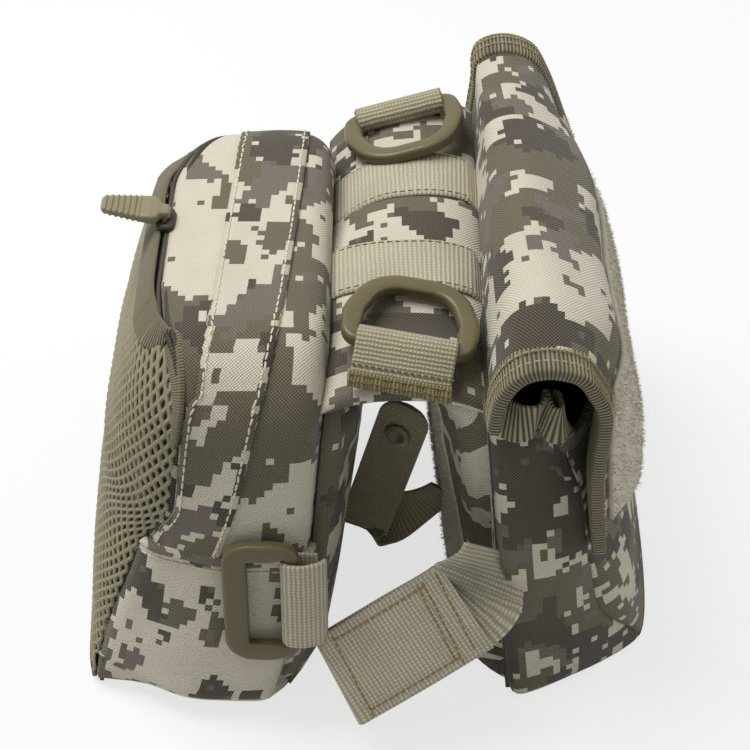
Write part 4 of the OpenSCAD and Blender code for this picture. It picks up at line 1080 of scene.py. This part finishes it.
def bridge_thick(x, y):
    ends = rim(np.minimum(y - BRIDGE_NEAR, BRIDGE_FAR - y), BRIDGE_END_R)
    sides = 0.25 + 0.75 * rim(BRIDGE_EDGE - np.abs(x - BRIDGE_MID), 9)
    soft = 1 + 0.12 * np.sin(y * 0.075 + 0.5) * np.cos((x - BRIDGE_MID) * 0.06)
    return BRIDGE_THICK * ends * sides * soft


def bridge_face(x, y, side=1):
    """Height of the pad's upper face, or of its lower one with side -1."""
    return bridge_mid(x, y) + side * bridge_thick(x, y) / 2


bridge_x = BRIDGE_MID + BRIDGE_HALF * np.sin(np.linspace(-math.pi / 2, math.pi / 2, 48))
round_end = BRIDGE_END_R * (1 - np.cos(np.linspace(0, math.pi / 2, 7)))
bridge_y = np.concatenate([BRIDGE_NEAR + round_end, np.linspace(BRIDGE_NEAR + 7, BRIDGE_FAR - 7, 60),
                           BRIDGE_FAR - round_end[::-1]])
pad_x, pad_y = grid(bridge_x, bridge_y)
upper, lower = (xyz(pad_x, pad_y, bridge_face(pad_x, pad_y, side)) for side in (1, -1))
pad = np.concatenate([upper, lower[:, -2:0:-1]], 1)
quads, corners = grid_faces(*pad.shape[:2], False, True)
pad_uv = arc_uv(pad, False, True) + np.array((520, 30)) * MM
bridge = make("bridge_pad", put(pad).reshape(-1, 3), quads, CAMO, pad_uv[corners[..., 0], corners[..., 1]])
# only the upper face between the strips is free to swell
STRIP_FRONT_Y, STRIP_REAR_Y = -24.5, 30.5
loose_y = (bridge_y > STRIP_FRONT_Y + 13) & (bridge_y < STRIP_REAR_Y - 13)
loose = np.zeros(pad.shape[:2], bool)
loose[:, :len(bridge_y)] = (np.abs(bridge_x - BRIDGE_MID) < 26)[:, None] & loose_y[None]
puff(bridge, ~loose.ravel(), BRIDGE_CAP)
sew(bridge, "bridge", "camo_cloth", "bridge_cover", "bridge_foam", "bridge_binding")
lining_x, lining_y = grid(np.linspace(-17, 39, 30), np.linspace(BRIDGE_NEAR + 3, BRIDGE_FAR - 3, 40))
lining = xyz(lining_x, lining_y, bridge_face(lining_x, lining_y, -1) - 0.4)
sew(cloth("bridge_lining_cloth", lining, DARK_CLOTH, (11, 0, 200), thick=0.8), "bridge", "dark_cloth",
    "bridge_lining")

# webbing strips across the bridge
strip_x = np.linspace(-20.5, 43.0, 70)
strip_drop = 6 * smooth((np.abs(strip_x - BRIDGE_MID) - 26) / 8)
STRIP_SEWN = 12.2
for name, y in (("strip_front", STRIP_FRONT_Y), ("strip_rear", STRIP_REAR_Y)):
    strip_z = bridge_face(np.clip(strip_x, -18, 40), y) + 0.9 - strip_drop
    path = xyz(strip_x, y + 0.6 * np.sin(strip_x * 0.07), strip_z)
    sew(sweep(name + "_webbing", path, (0, 1, 0), round_section(28.0, 1.9), STRIP), "bridge", "webbing", name)
    lines = [((path + (0, s, 1.05))[4:-4], (0, 0, 1.0)) for s in (-STRIP_SEWN, STRIP_SEWN)]
    stitches(name + "_stitches", "bridge", "webbing", lines, 3.2, (2.2, 0.6, 0.5), OLIVE_THREAD)

# D-rings in webbing tabs at both ends: plans as (across, out of the tab) and (along Y, height)
RING_Y, RING_Z = 75.0, 157.2
TAB_Y, TAB_Z = 77.0, 155.0
RING_CORNERS = [(-21.4, 0), (21.4, 0), (21.8, 15), (15, 33), (-15, 33), (-21.8, 15)]
RING_RADII = [4, 4, 14, 15, 15, 14]
TAB_WRAP = [(91.0, 149.6), (88.6, 152.2), (84.0, 156.2), (79.0, 160.4), (75.0, 161.6), (71.3, 159.6),
            (70.8, 156.6), (73.5, 153.9), (78.0, 153.4), (84.0, 152.8)]
TAB_HEM_Y, TAB_HEM_Z = 89.6, 150.9
TAB_ROWS = ((91.8, 151.6), (90.0, 153.2), (87.0, 155.6))
ring_flat = resample(rounded_path(RING_CORNERS, RING_RADII), 150, closed=True)
ring_wide = profile(ring_flat[:, 1], ((0, 0.78), (4, 0.9), (10, 1.08), (34, 1.0)))
tab_wrap = resample(spline(TAB_WRAP, 8), 90)
hem_x = np.linspace(-19.0, 19.0, 30)


def turning(roll, yaw):
    """Matrix that rolls and then yaws rows of points, by degrees."""
    r, w = math.radians(roll), math.radians(yaw)
    tip = np.array([[math.cos(r), 0, -math.sin(r)], [0, 1, 0], [math.sin(r), 0, math.cos(r)]])
    swing = np.array([[math.cos(w), -math.sin(w), 0], [math.sin(w), math.cos(w), 0], [0, 0, 1]])
    return (swing @ tip).T


def on_tab(x, y, z, sign, turn):
    """Points at the end of the bridge that sign names, turned about the middle of its tab."""
    middle = np.array([BRIDGE_MID, sign * TAB_Y, TAB_Z])
    return middle + (xyz(BRIDGE_MID + x, sign * y, z) - middle) @ turn


for end, sign, tilt, roll, yaw in (("front", -1, 0.5, -6.0, -8.0), ("rear", 1, 5.0, 12.0, 8.0)):
    ring, tab = "ring_" + end, "ring_tab_" + end
    turn, lean = turning(roll, yaw), math.radians(tilt)
    path = on_tab(ring_flat[:, 0], RING_Y - ring_flat[:, 1] * math.cos(lean),
                  RING_Z + ring_flat[:, 1] * math.sin(lean), sign, turn)
    sew(sweep(ring + "_moulding", path, unit(path - path.mean(0)), oval_section(7.4, 5.4, 3.4, 26), PLASTIC,
              closed=True, wide=ring_wide), end + "_ring", "moulded_plastic", ring)
    path = on_tab(0, tab_wrap[:, 0], tab_wrap[:, 1], sign, turn)
    sew(sweep(tab + "_webbing", path, np.array((1.0, 0, 0)) @ turn, round_section(37.0, 1.9), WEBBING),
        "bridge", "webbing", tab)
    # folded hem under the tab, and sewn rows
    path = on_tab(hem_x, TAB_HEM_Y + sign * 0.25 * np.sin(hem_x), TAB_HEM_Z, sign, turn)
    sew(sweep(tab + "_hem", path, np.array((0, sign * 0.72, -0.69)) @ turn, round_section(6.4, 3.6),
              OLIVE_TAPE), "bridge", "webbing")
    lines = [(on_tab(hem_x, y, z, sign, turn), (0, sign * 0.7, 0.7)) for y, z in TAB_ROWS]
    stitches(tab + "_stitches", "bridge", "webbing", lines, 2.4, (1.9, 0.7, 0.6), OLIVE_THREAD)


# Flap pouch

FLAP_BASE, FLAP_TOP = 117.0, 94.0
FLAP_ROWS = 28
FLAP_INSIDE = (72.0, 0.0, 75.0)
FLAP_CREASES = ((0.09, -0.08, 0.4, 0.8), (0.04, 0.14, 0.0, 0.7))
FLAP_CORNERS = [(-FLAP_TOP, FLAP_H), (-FLAP_BASE, 0), (FLAP_BASE, 0), (FLAP_TOP, FLAP_H)]
flap_loop = resample(rounded_path(FLAP_CORNERS, [0, 6, 6, 0]), 220)
flap_run = unit(np.gradient(flap_loop, axis=0))
flap_out = np.stack([flap_run[:, 1], -flap_run[:, 0]], 1)
gy, gz = flap_loop[:, 0], flap_loop[:, 1]
# how far each place on the loop belongs to the walls and to the floor, 0 to 1
side_w = np.abs(flap_out[:, 0])
floor_w = np.clip(-flap_out[:, 1], 0, 1)
flap_depth = flap_deep(gz)
flap_gap = side_w * (3 + 12.5 * smooth(gz / 45)) + floor_w * 2
flap_bulge = side_w * 5 * np.sin(math.pi * np.clip(gz / FLAP_H, 0, 1))
flap_slant = side_w * np.where(gy < 0, 0, 12 - 6 * gz / FLAP_H)
flap_points = shell(flap_loop, flap_out, flap_back, 1, flap_depth, flap_gap, side_w * 5 + floor_w * 4,
                    side_w * (6 + 13 * smooth(gz / 45)) + floor_w * 4, flap_bulge, flap_slant, FLAP_ROWS)
into = np.linspace(0, 1, FLAP_ROWS + 1)[None] * ((flap_depth - flap_gap) / flap_depth)[:, None]
flap_points[..., 1] += ((31 - 21.5 * gz / FLAP_H) * smooth(-gy / 70))[:, None] * into ** 1.5
crease(flap_points, flap_out, side_w, FLAP_CREASES)


def sunk_corner(points):
    """Lets the mouth sag at its near front corner."""
    x, y, z = points[..., 0], points[..., 1], points[..., 2]
    sag = 20.0 * smooth((x - 61) / 14) * smooth((z - 100) / 42) * smooth((-55 - y) / 25)
    return xyz(x, y, z - sag)


wall_edge = flap_points[:, -1]
flap_points = sunk_corner(flap_points)
sew(cloth("right_pouch_walls", flap_points, CAMO, FLAP_INSIDE, uv_shift=(1032, 157), thick=WALL_CLOTH,
          lining=DARK_CLOTH), "right_pouch", "camo_cloth", "right_gusset")

# front panel with its loop strip
near_half = np.arange(len(flap_loop)) < len(flap_loop) // 2
flap_near, flap_far = (side_w > 0.2) & near_half, (side_w > 0.2) & ~near_half
near_col, far_col = ordered(wall_edge[flap_near]), ordered(wall_edge[flap_far])


def flap_sides(z):
    return at_height(z, near_col, 1), at_height(z, far_col, 1)


def flap_face(y, z):
    """X of the front panel, which is drawn in at both upper corners."""
    near, far = flap_sides(z)
    a = np.clip(np.abs((2 * y - near - far) / np.maximum(far - near, 1)), 0, 1)
    e = 1 - np.sqrt(np.clip(1 - a ** 9, 0, 1))
    front = flap_back(z) + flap_deep(z) + 4.0 * (1 - a ** 2)
    front = front + 2.0 * np.sin(math.pi * np.clip(z / FLAP_H, 0, 1))
    front = front - 13.0 * smooth((-58 - y) / 42) * smooth((z - 42) / 40)
    front = front - 9.0 * smooth((y - 25) / 50) * smooth((z - 42) / 60)
    return front * (1 - e) + at_height(z, near_col, 0) * e - 5 * (1 - rim(z, 7))


FACE_LOW, FACE_CLOTH = 0.5, 1.8
face_t = np.sin(np.linspace(-math.pi / 2, math.pi / 2, 110))
face_z = FACE_LOW + (FLAP_H - FACE_LOW) * np.linspace(0, 1, 70) ** 1.15
face_yg, face_zg = panel_grid(face_t, *flap_sides(face_z), face_z)
face_points = sunk_corner(xyz(flap_face(face_yg, face_zg), face_yg, face_zg))
sew(cloth("right_front_cloth", face_points, CAMO, FLAP_INSIDE, uv_shift=(880, 260), thick=FACE_CLOTH,
          lining=DARK_CLOTH), "right_pouch", "camo_cloth", "right_front_panel")
loop_y, loop_z = grid(np.linspace(-84, 84, 60), np.linspace(83, 107, 8))
loop_points = xyz(flap_face(loop_y, loop_z) + 0.6, loop_y, loop_z)
sew(cloth("front_loop_pile", loop_points, PILE, FLAP_INSIDE, thick=1.0), "right_pouch", "loop_pile",
    "front_loop_strip")


# back panel with its thick pad and loop field
def flap_swell(y, z):
    """How far the pad stands out of the back panel."""
    ends = rim(86 + 21 * smooth((45 - z) / 40) - np.abs(y), 12)
    rise = rim(z - 2, 12) * rim(140 - z, 9)
    return 18.0 * ends * rise * (1 + 0.04 * np.sin(y * 0.08) * np.sin(z * 0.06 + 1))


FLAP_CUSHION_OVER = 0.4
near_back, far_back = ordered(flap_points[flap_near, 0]), ordered(flap_points[flap_far, 0])
right_z = spaced((0.6, 30, 22), (33, 124, 26), (126, SEAM_Z - 1, 18))
right_t = spaced((-1, -0.68, 26), (-0.66, 0.66, 50), (0.68, 1, 26))
right_yg, right_zg = panel_grid(right_t, at_height(right_z, near_back, 1) - FLAP_CUSHION_OVER,
                                at_height(right_z, far_back, 1) + FLAP_CUSHION_OVER, right_z)
right_x = flap_back(right_zg) - CUSHION_BASE - CUSHION_SHARE * flap_swell(right_yg, right_zg)
back_points = xyz(right_x, right_yg, right_zg)
right_back = cloth("right_back_cushion", back_points, CAMO, FLAP_INSIDE, uv_shift=(610, 520),
                   thick=CUSHION_CLOTH, lining=DARK_CLOTH)
back_points = puff(right_back, border(right_yg.shape), CUSHION_CAP).reshape(back_points.shape)
sew(right_back, "right_pouch", "camo_cloth", "right_back_cover", "right_back_foam", "right_back_lining",
    "right_back_pad")
field_j = np.interp(np.linspace(24, 130, 50), right_z, np.arange(len(right_z)))
field = Surface(back_points, FLAP_INSIDE).at(*grid(np.linspace(20, 81, 70), field_j), 0.4)
sew(cloth("right_loop_pile", field, PILE, FLAP_INSIDE, thick=0.8), "right_pouch", "loop_pile",
    "right_loop_field")
fuzz("right_loop_fuzz", Surface(field, FLAP_INSIDE), 7000, 2.0, "right_pouch")

# tape round the pouch mouth and the gathered tab on its near end
RIM_BELOW = 3.2
GATHER_POINTS, GATHER_Z = 300, 141.0
GATHER_PLAN = [(45.0, -92.5), (48.0, -96.0), (52.5, -98.8), (57.0, -98.0), (59.6, -94.0), (60.6, -90.6),
               (61.6, -94.6), (63.6, -98.4), (66.6, -98.6), (68.4, -95.2), (67.8, -90.2), (65.0, -87.0)]
rim_path = resample(np.concatenate([flap_points[0], face_points[2:-2, -1], flap_points[-1, ::-1]]), 500)
rim_path[:, 2] -= RIM_BELOW
sew(sweep("mouth_tape", rim_path, (0, 0, 1), round_section(9.5, 3.4), TAPE, high=ribs(rim_path, 1.4, 0.06)),
    "right_pouch", "ribbed_tape", "mouth_binding")
plan = resample(spline(GATHER_PLAN, 12), GATHER_POINTS)
path = xyz(plan[:, 0], plan[:, 1], GATHER_Z + 1.2 * np.sin(np.linspace(-1, 5.5, GATHER_POINTS)))
gather_lean = xyz(0.35 * np.sin(np.linspace(2.2, -1.2, GATHER_POINTS)), 0.22, 1.0)
sew(sweep("mouth_gather", path, gather_lean, round_section(15.5, 1.6), GATHER, high=ribs(path, 1.6, 0.1)),
    "right_pouch", "ribbed_tape", "mouth_loop")

# flap: one sheet from the seam over the crest and down the front
FLAP_NEAR, FLAP_END = -104.0, 100.0
FLAP_LINE = 90
FLAP_THICK = 2.8


def flap_line(y):
    """Section of the flap at y as (x, z): drawn in at both ends and drooping at the near one."""
    near = smooth((y + 100) / 38.0)
    far = smooth((y - 10) / 95.0)
    crest = 60.5 - 6.5 * (y + 100) / 205.0
    x1 = 81.0 + 7.0 * near - 13.0 * far
    x2 = 83.0 + 17.5 * near - 9.0 * far
    x3 = 87.0 + 17.5 * near - 8.0 * far
    knots = [(41.2, 140.5), (43.2, 160.0), (crest - 10.5, 174.5), (crest, CREST_Z), (crest + 12.0, 175.5),
             (x1 - 2.5, 165.0), (x1 + 2.5 + 2 * far, 148.0), (x2, 113.0), (x3, 76.0)]
    line = resample(spline(knots, 10), FLAP_LINE)
    droop = 0.27 * smooth((-68 - y) / 36.0)
    line[:, 1] -= droop * np.clip(line[:, 1] - SEAM_Z, 0, None)
    return line


flap_ys = spaced((FLAP_NEAR, -60, 24), (-57, 60, 44), (63, FLAP_END, 16))
sheet_points = np.zeros((FLAP_LINE, len(flap_ys), 3))
for k, y in enumerate(flap_ys):
    line = flap_line(y)
    wavy = 0.8 * math.sin(y * 0.07) * np.sin(np.linspace(0, math.pi, FLAP_LINE)) ** 2
    sheet_points[:, k] = xyz(line[:, 0] + wavy, y, line[:, 1] - 0.4 * abs(wavy))
flap_skin = Surface(sheet_points, FLAP_INSIDE)
flap_sheet = cloth("flap_sheet", sheet_points, CAMO, FLAP_INSIDE, uv_shift=(150, 640), thick=FLAP_THICK,
                   lining=DARK_CLOTH)
hinged(flap_sheet, CREST_HINGE, "camo_cloth", "flap_root", "flap_lid")


def flap_row(y):
    """Index along the flap's width at y."""
    return np.interp(y, flap_ys, np.arange(len(flap_ys)))


# ribbed tapes on both ends of the flap, each sewn along two rows
TAPE_IN, TAPE_LIFT, TAPE_SEWN_LIFT = 6.6, -1.3, 1.55
tape_i = np.linspace(1, FLAP_LINE - 1.5, 720)
for end, y, node in (("near", FLAP_NEAR + TAPE_IN, "flap_root_binding"),
                     ("far", FLAP_END - TAPE_IN, "flap_lid_binding")):
    path = flap_skin.at(tape_i, flap_row(y), TAPE_LIFT)
    hinged(sweep("flap_tape_" + end, path, (0, 1, 0), round_section(15.0, 5.2, 1.5), TAPE,
                 high=ribs(path, 1.4, 0.07)), CREST_HINGE, "ribbed_tape", node)
    facing = flap_skin.facing(tape_i, flap_row(y))
    rows = [(flap_skin.at(tape_i, flap_row(y + s), TAPE_SEWN_LIFT), facing) for s in (-1.5, 3.2)]
    hinged(sewn_rows("flap_tape_stitches_" + end, rows, 3.2, (2.6, 0.9, 0.7), TAPE_THREAD), CREST_HINGE,
           "ribbed_tape")

# fuzzy loop patch on the lid, hook strip inside it
lid_points = flap_skin.at(*grid(np.linspace(50, 87.5, 44), flap_row(np.linspace(-88, 88, 80))), 2.0)
sew(cloth("flap_loop_pile", lid_points, PILE, FLAP_INSIDE, thick=2.0), "lid", "loop_pile", "flap_loop_patch")
fuzz("flap_loop_fuzz", Surface(lid_points, FLAP_INSIDE), 9000, 1.9, "lid")
hook_points = flap_skin.at(*grid(np.linspace(66, 80, 10), flap_row(np.linspace(-80, 80, 50))), -3.6)
sew(cloth("flap_hook_pile", hook_points, HOOK, (150, 0, 100), thick=1.0), "lid", "hook_tape",
    "flap_hook_strip")


# Straps in the gap

def twisting(path, first, last, over):
    """Way across a strap at each point, which turns from `first` to `last` over a length."""
    t = smooth(lengths(path) / over)[:, None]
    return unit(first * (1 - t) + last * t)


# cinch strap: from its root to the middle, on to the tip, and folded back over itself
CINCH_ROOT = np.array([45.5, -103.1, 78.0])
CINCH_MID = np.array([34.0, -116.0, 60.0])
CINCH_TIP = np.array([-11.5, -127.5, 31.5])
CINCH_ROOT_ACROSS = unit((0.093, -0.187, -0.978))
CINCH_ACROSS = unit((0.45, -0.52, -0.72))
FOLD_R, FOLD_LONG, FOLD_SWELL = 2.3, 1.3, 1.2
CINCH_TWIST = 24.0
cinch_long = CINCH_TIP - CINCH_MID
cinch_len = float(np.linalg.norm(cinch_long))
cinch_run = unit(cinch_long)
cinch_up = unit(np.cross(cinch_long, CINCH_ACROSS))
low = spline([CINCH_ROOT, CINCH_ROOT * 0.45 + CINCH_MID * 0.55 + (1, -1, 0), CINCH_MID,
              (CINCH_MID + CINCH_TIP) / 2, CINCH_TIP], 14)
turn = np.linspace(0, math.pi, 14)[1:-1, None]
fold = CINCH_TIP + FOLD_R * (cinch_up * (1 - np.cos(turn)) + cinch_run * np.sin(turn) * FOLD_LONG)
back = np.linspace(0, 1.03, 40)[:, None]
high = CINCH_TIP - cinch_long * back + cinch_up * (2 * FOLD_R + np.sin(back * math.pi) * FOLD_SWELL - back)
path = resample(np.concatenate([low, fold, high]), 220)
across = twisting(path, CINCH_ROOT_ACROSS, CINCH_ACROSS, CINCH_TWIST)
sew(sweep("cinch_webbing", path, across, round_section(39.0, 1.7), FINE_WEBBING), "cinch", "webbing",
    "cinch_strap")
path = CINCH_MID + cinch_long * np.linspace(0.25, 0.92, 20)[:, None] - cinch_up * 1.6
sew(sweep("cinch_hook_pile", path, CINCH_ACROSS, round_section(33.0, 1.4), HOOK), "cinch", "hook_tape",
    "cinch_hook_pad")


def on_cinch(along, s):
    """Points on the upper layer: `along` from the free end toward the fold, s across it."""
    along, s = (v[:, None] for v in np.broadcast_arrays(along, s))
    left = 1 - along / cinch_len
    rise = 2 * FOLD_R + np.sin(left * math.pi) * FOLD_SWELL - left + 0.95
    return CINCH_MID + cinch_run * along + CINCH_ACROSS * s + cinch_up * rise


CINCH_SEWN_HALF, CINCH_BOX_HALF = 17.5, 15.5
CINCH_BOX = (9.0, cinch_len - 4.0)
lines = [(on_cinch(along, np.linspace(-CINCH_SEWN_HALF, CINCH_SEWN_HALF, 30)), cinch_up)
         for along in (3.0, CINCH_BOX[0], 11.5, CINCH_BOX[1])]
lines += [(on_cinch(np.linspace(*CINCH_BOX, 40), s), cinch_up) for s in (-CINCH_BOX_HALF, CINCH_BOX_HALF)]
stitches("cinch_hem_stitches", "cinch", "webbing", lines, 2.8, (2.2, 0.8, 0.7), TAN_THREAD)

# snap strap: curves down from its root, turns and stands up to the snap
SNAP_ROOT = np.array([29.2, -48.0, 52.0])
SNAP_BEND = np.array([10.0, -49.0, 36.0])
SNAP_TURN = np.array([-5.0, -57.0, 39.0])
SNAP_HIGH = np.array([11.0, -60.0, 104.0])
SNAP_ROOT_ACROSS = unit((0.0955, 0.25, -1.0))
SNAP_ACROSS = unit((0.85, -0.35, -0.15))
SNAP_WIDE, SNAP_ROUND, SNAP_TWIST = 21.0, 9.0, 36.0
SNAP_BELOW = 7.0
t = np.linspace(0, 1, 30)[:, None]
path = (1 - t) ** 2 * SNAP_ROOT + 2 * t * (1 - t) * SNAP_BEND + t ** 2 * SNAP_TURN
path = np.concatenate([path, SNAP_TURN + (SNAP_HIGH - SNAP_TURN) * np.linspace(0.03, 1.14, 40)[:, None]])
path = resample(spline(resample(path, 16), 8), 150)
way = lengths(path)
across = twisting(path, SNAP_ROOT_ACROSS, SNAP_ACROSS, SNAP_TWIST)
sew(sweep("snap_webbing", path, across, round_section(SNAP_WIDE, 1.7), DARK_WEBBING,
          wide=0.12 + 0.88 * rim(way[-1] - way, SNAP_ROUND)), "snap", "dark_webbing", "snap_strap")
snap_run = unit(SNAP_HIGH - SNAP_TURN)
snap_out = unit(np.cross(snap_run, SNAP_ACROSS))
snap_at = SNAP_HIGH - snap_run * SNAP_BELOW
DOME_SIDES = 40


def dome(name, axis, rings, slot, node):
    """Half of the snap: a turned disc from rings of (radius, height along an axis)."""
    ref = unit(np.cross(axis, np.array([0.3, 0.2, 1.0])))
    a = np.linspace(0, 2 * math.pi, DOME_SIDES, endpoint=False)[:, None]
    spokes = np.cos(a) * ref + np.sin(a) * np.cross(axis, ref)
    points = np.stack([snap_at + axis * h + spokes * r for r, h in rings])
    quads, _ = grid_faces(len(rings), DOME_SIDES, False, True)
    last = (len(rings) - 1) * DOME_SIDES
    faces = [list(q) for q in quads]
    faces += [list(range(DOME_SIDES)), list(range(last, last + DOME_SIDES))[::-1]]
    sew(make(name, put(points).reshape(-1, 3), faces, DARK_PLASTIC), "snap", slot, node)


dome("snap_cap_disc", snap_out, ((6.5, 0.9), (6.6, 1.7), (6.3, 2.3), (5.6, 2.6), (4.9, 2.9), (3.9, 3.3),
                                 (2.6, 3.55), (0.5, 3.6)), "moulded_plastic", "snap_cap")
dome("snap_socket_ring", -snap_out, ((5.2, 0.9), (5.4, 1.6), (5.0, 2.2), (3.2, 2.6), (2.8, 2.6), (2.6, 1.4)),
     "dark_metal", "snap_socket")


# Floor, light and background

FLOOR_SIZE, FLOOR_BELOW = 6.0, 0.0002
FLOOR_GREY, FLOOR_GLOW = 0.9, 0.72
WORLD_LIGHT = 0.25


def seen_rays(tree):
    """1 for rays from the camera, a reflection or a view through something, and 0 for light."""
    paths = tree.nodes.new("ShaderNodeLightPath")
    total = paths.outputs["Is Camera Ray"]
    for kind in ("Is Glossy Ray", "Is Transmission Ray"):
        node = tree.nodes.new("ShaderNodeMath")
        node.operation = "ADD"
        node.use_clamp = True
        tree.links.new(total, node.inputs[0])
        tree.links.new(paths.outputs[kind], node.inputs[1])
        total = node.outputs[0]
    return total


# seen directly the floor is mostly glow with faint shadows, and other rays meet it as a plain floor
floor_corners = [(x * FLOOR_SIZE, y * FLOOR_SIZE, 0) for x, y in ((-1, -1), (1, -1), (1, 1), (-1, 1))]
floor_look = bpy.data.materials.new("floor")
floor = make("floor", floor_corners, [(0, 1, 2, 3)], floor_look, shade=False)
floor.location.z = -FLOOR_BELOW
floor_look.use_nodes = True
tree = floor_look.node_tree
shade = tree.nodes["Principled BSDF"]
shade.inputs["Base Color"].default_value = (FLOOR_GREY, FLOOR_GREY, FLOOR_GREY, 1)
shade.inputs["Roughness"].default_value = 0.9
glow = tree.nodes.new("ShaderNodeEmission")
glow.inputs["Strength"].default_value = 1.0
part = tree.nodes.new("ShaderNodeMath")
part.operation = "MULTIPLY"
part.inputs[1].default_value = FLOOR_GLOW
tree.links.new(seen_rays(tree), part.inputs[0])
both = tree.nodes.new("ShaderNodeMixShader")
tree.links.new(part.outputs[0], both.inputs[0])
tree.links.new(shade.outputs[0], both.inputs[1])
tree.links.new(glow.outputs[0], both.inputs[2])
tree.links.new(both.outputs[0], tree.nodes["Material Output"].inputs["Surface"])

world = bpy.data.worlds.new("studio")
bpy.context.scene.world = world
world.use_nodes = True
tree = world.node_tree
sky = tree.nodes["Background"]
sky.inputs["Color"].default_value = (1, 1, 1, 1)
level = tree.nodes.new("ShaderNodeMapRange")
level.inputs["To Min"].default_value = WORLD_LIGHT
level.inputs["To Max"].default_value = 1.0
tree.links.new(seen_rays(tree), level.inputs["Value"])
tree.links.new(level.outputs[0], sky.inputs["Strength"])

LAMP_AIM = np.array([0.0, 0.0, 0.1])


def lamp(name, at, size, watts):
    """A square lamp that faces LAMP_AIM, in metres."""
    data = bpy.data.lights.new(name, "AREA")
    data.size = size
    data.energy = watts
    obj = bpy.data.objects.new(name, data)
    obj.location = at
    run = LAMP_AIM - at
    obj.rotation_euler = (math.atan2(math.hypot(run[0], run[1]), -run[2]), 0.0,
                          math.atan2(run[1], run[0]) - math.pi / 2)
    bpy.context.collection.objects.link(obj)


lamp("key", (-0.5, 0.25, 1.2), 0.8, 15.0)
lamp("fill", (1.1, 0.1, 0.8), 1.0, 3.5)

bpy.context.scene.view_settings.view_transform = "Standard"
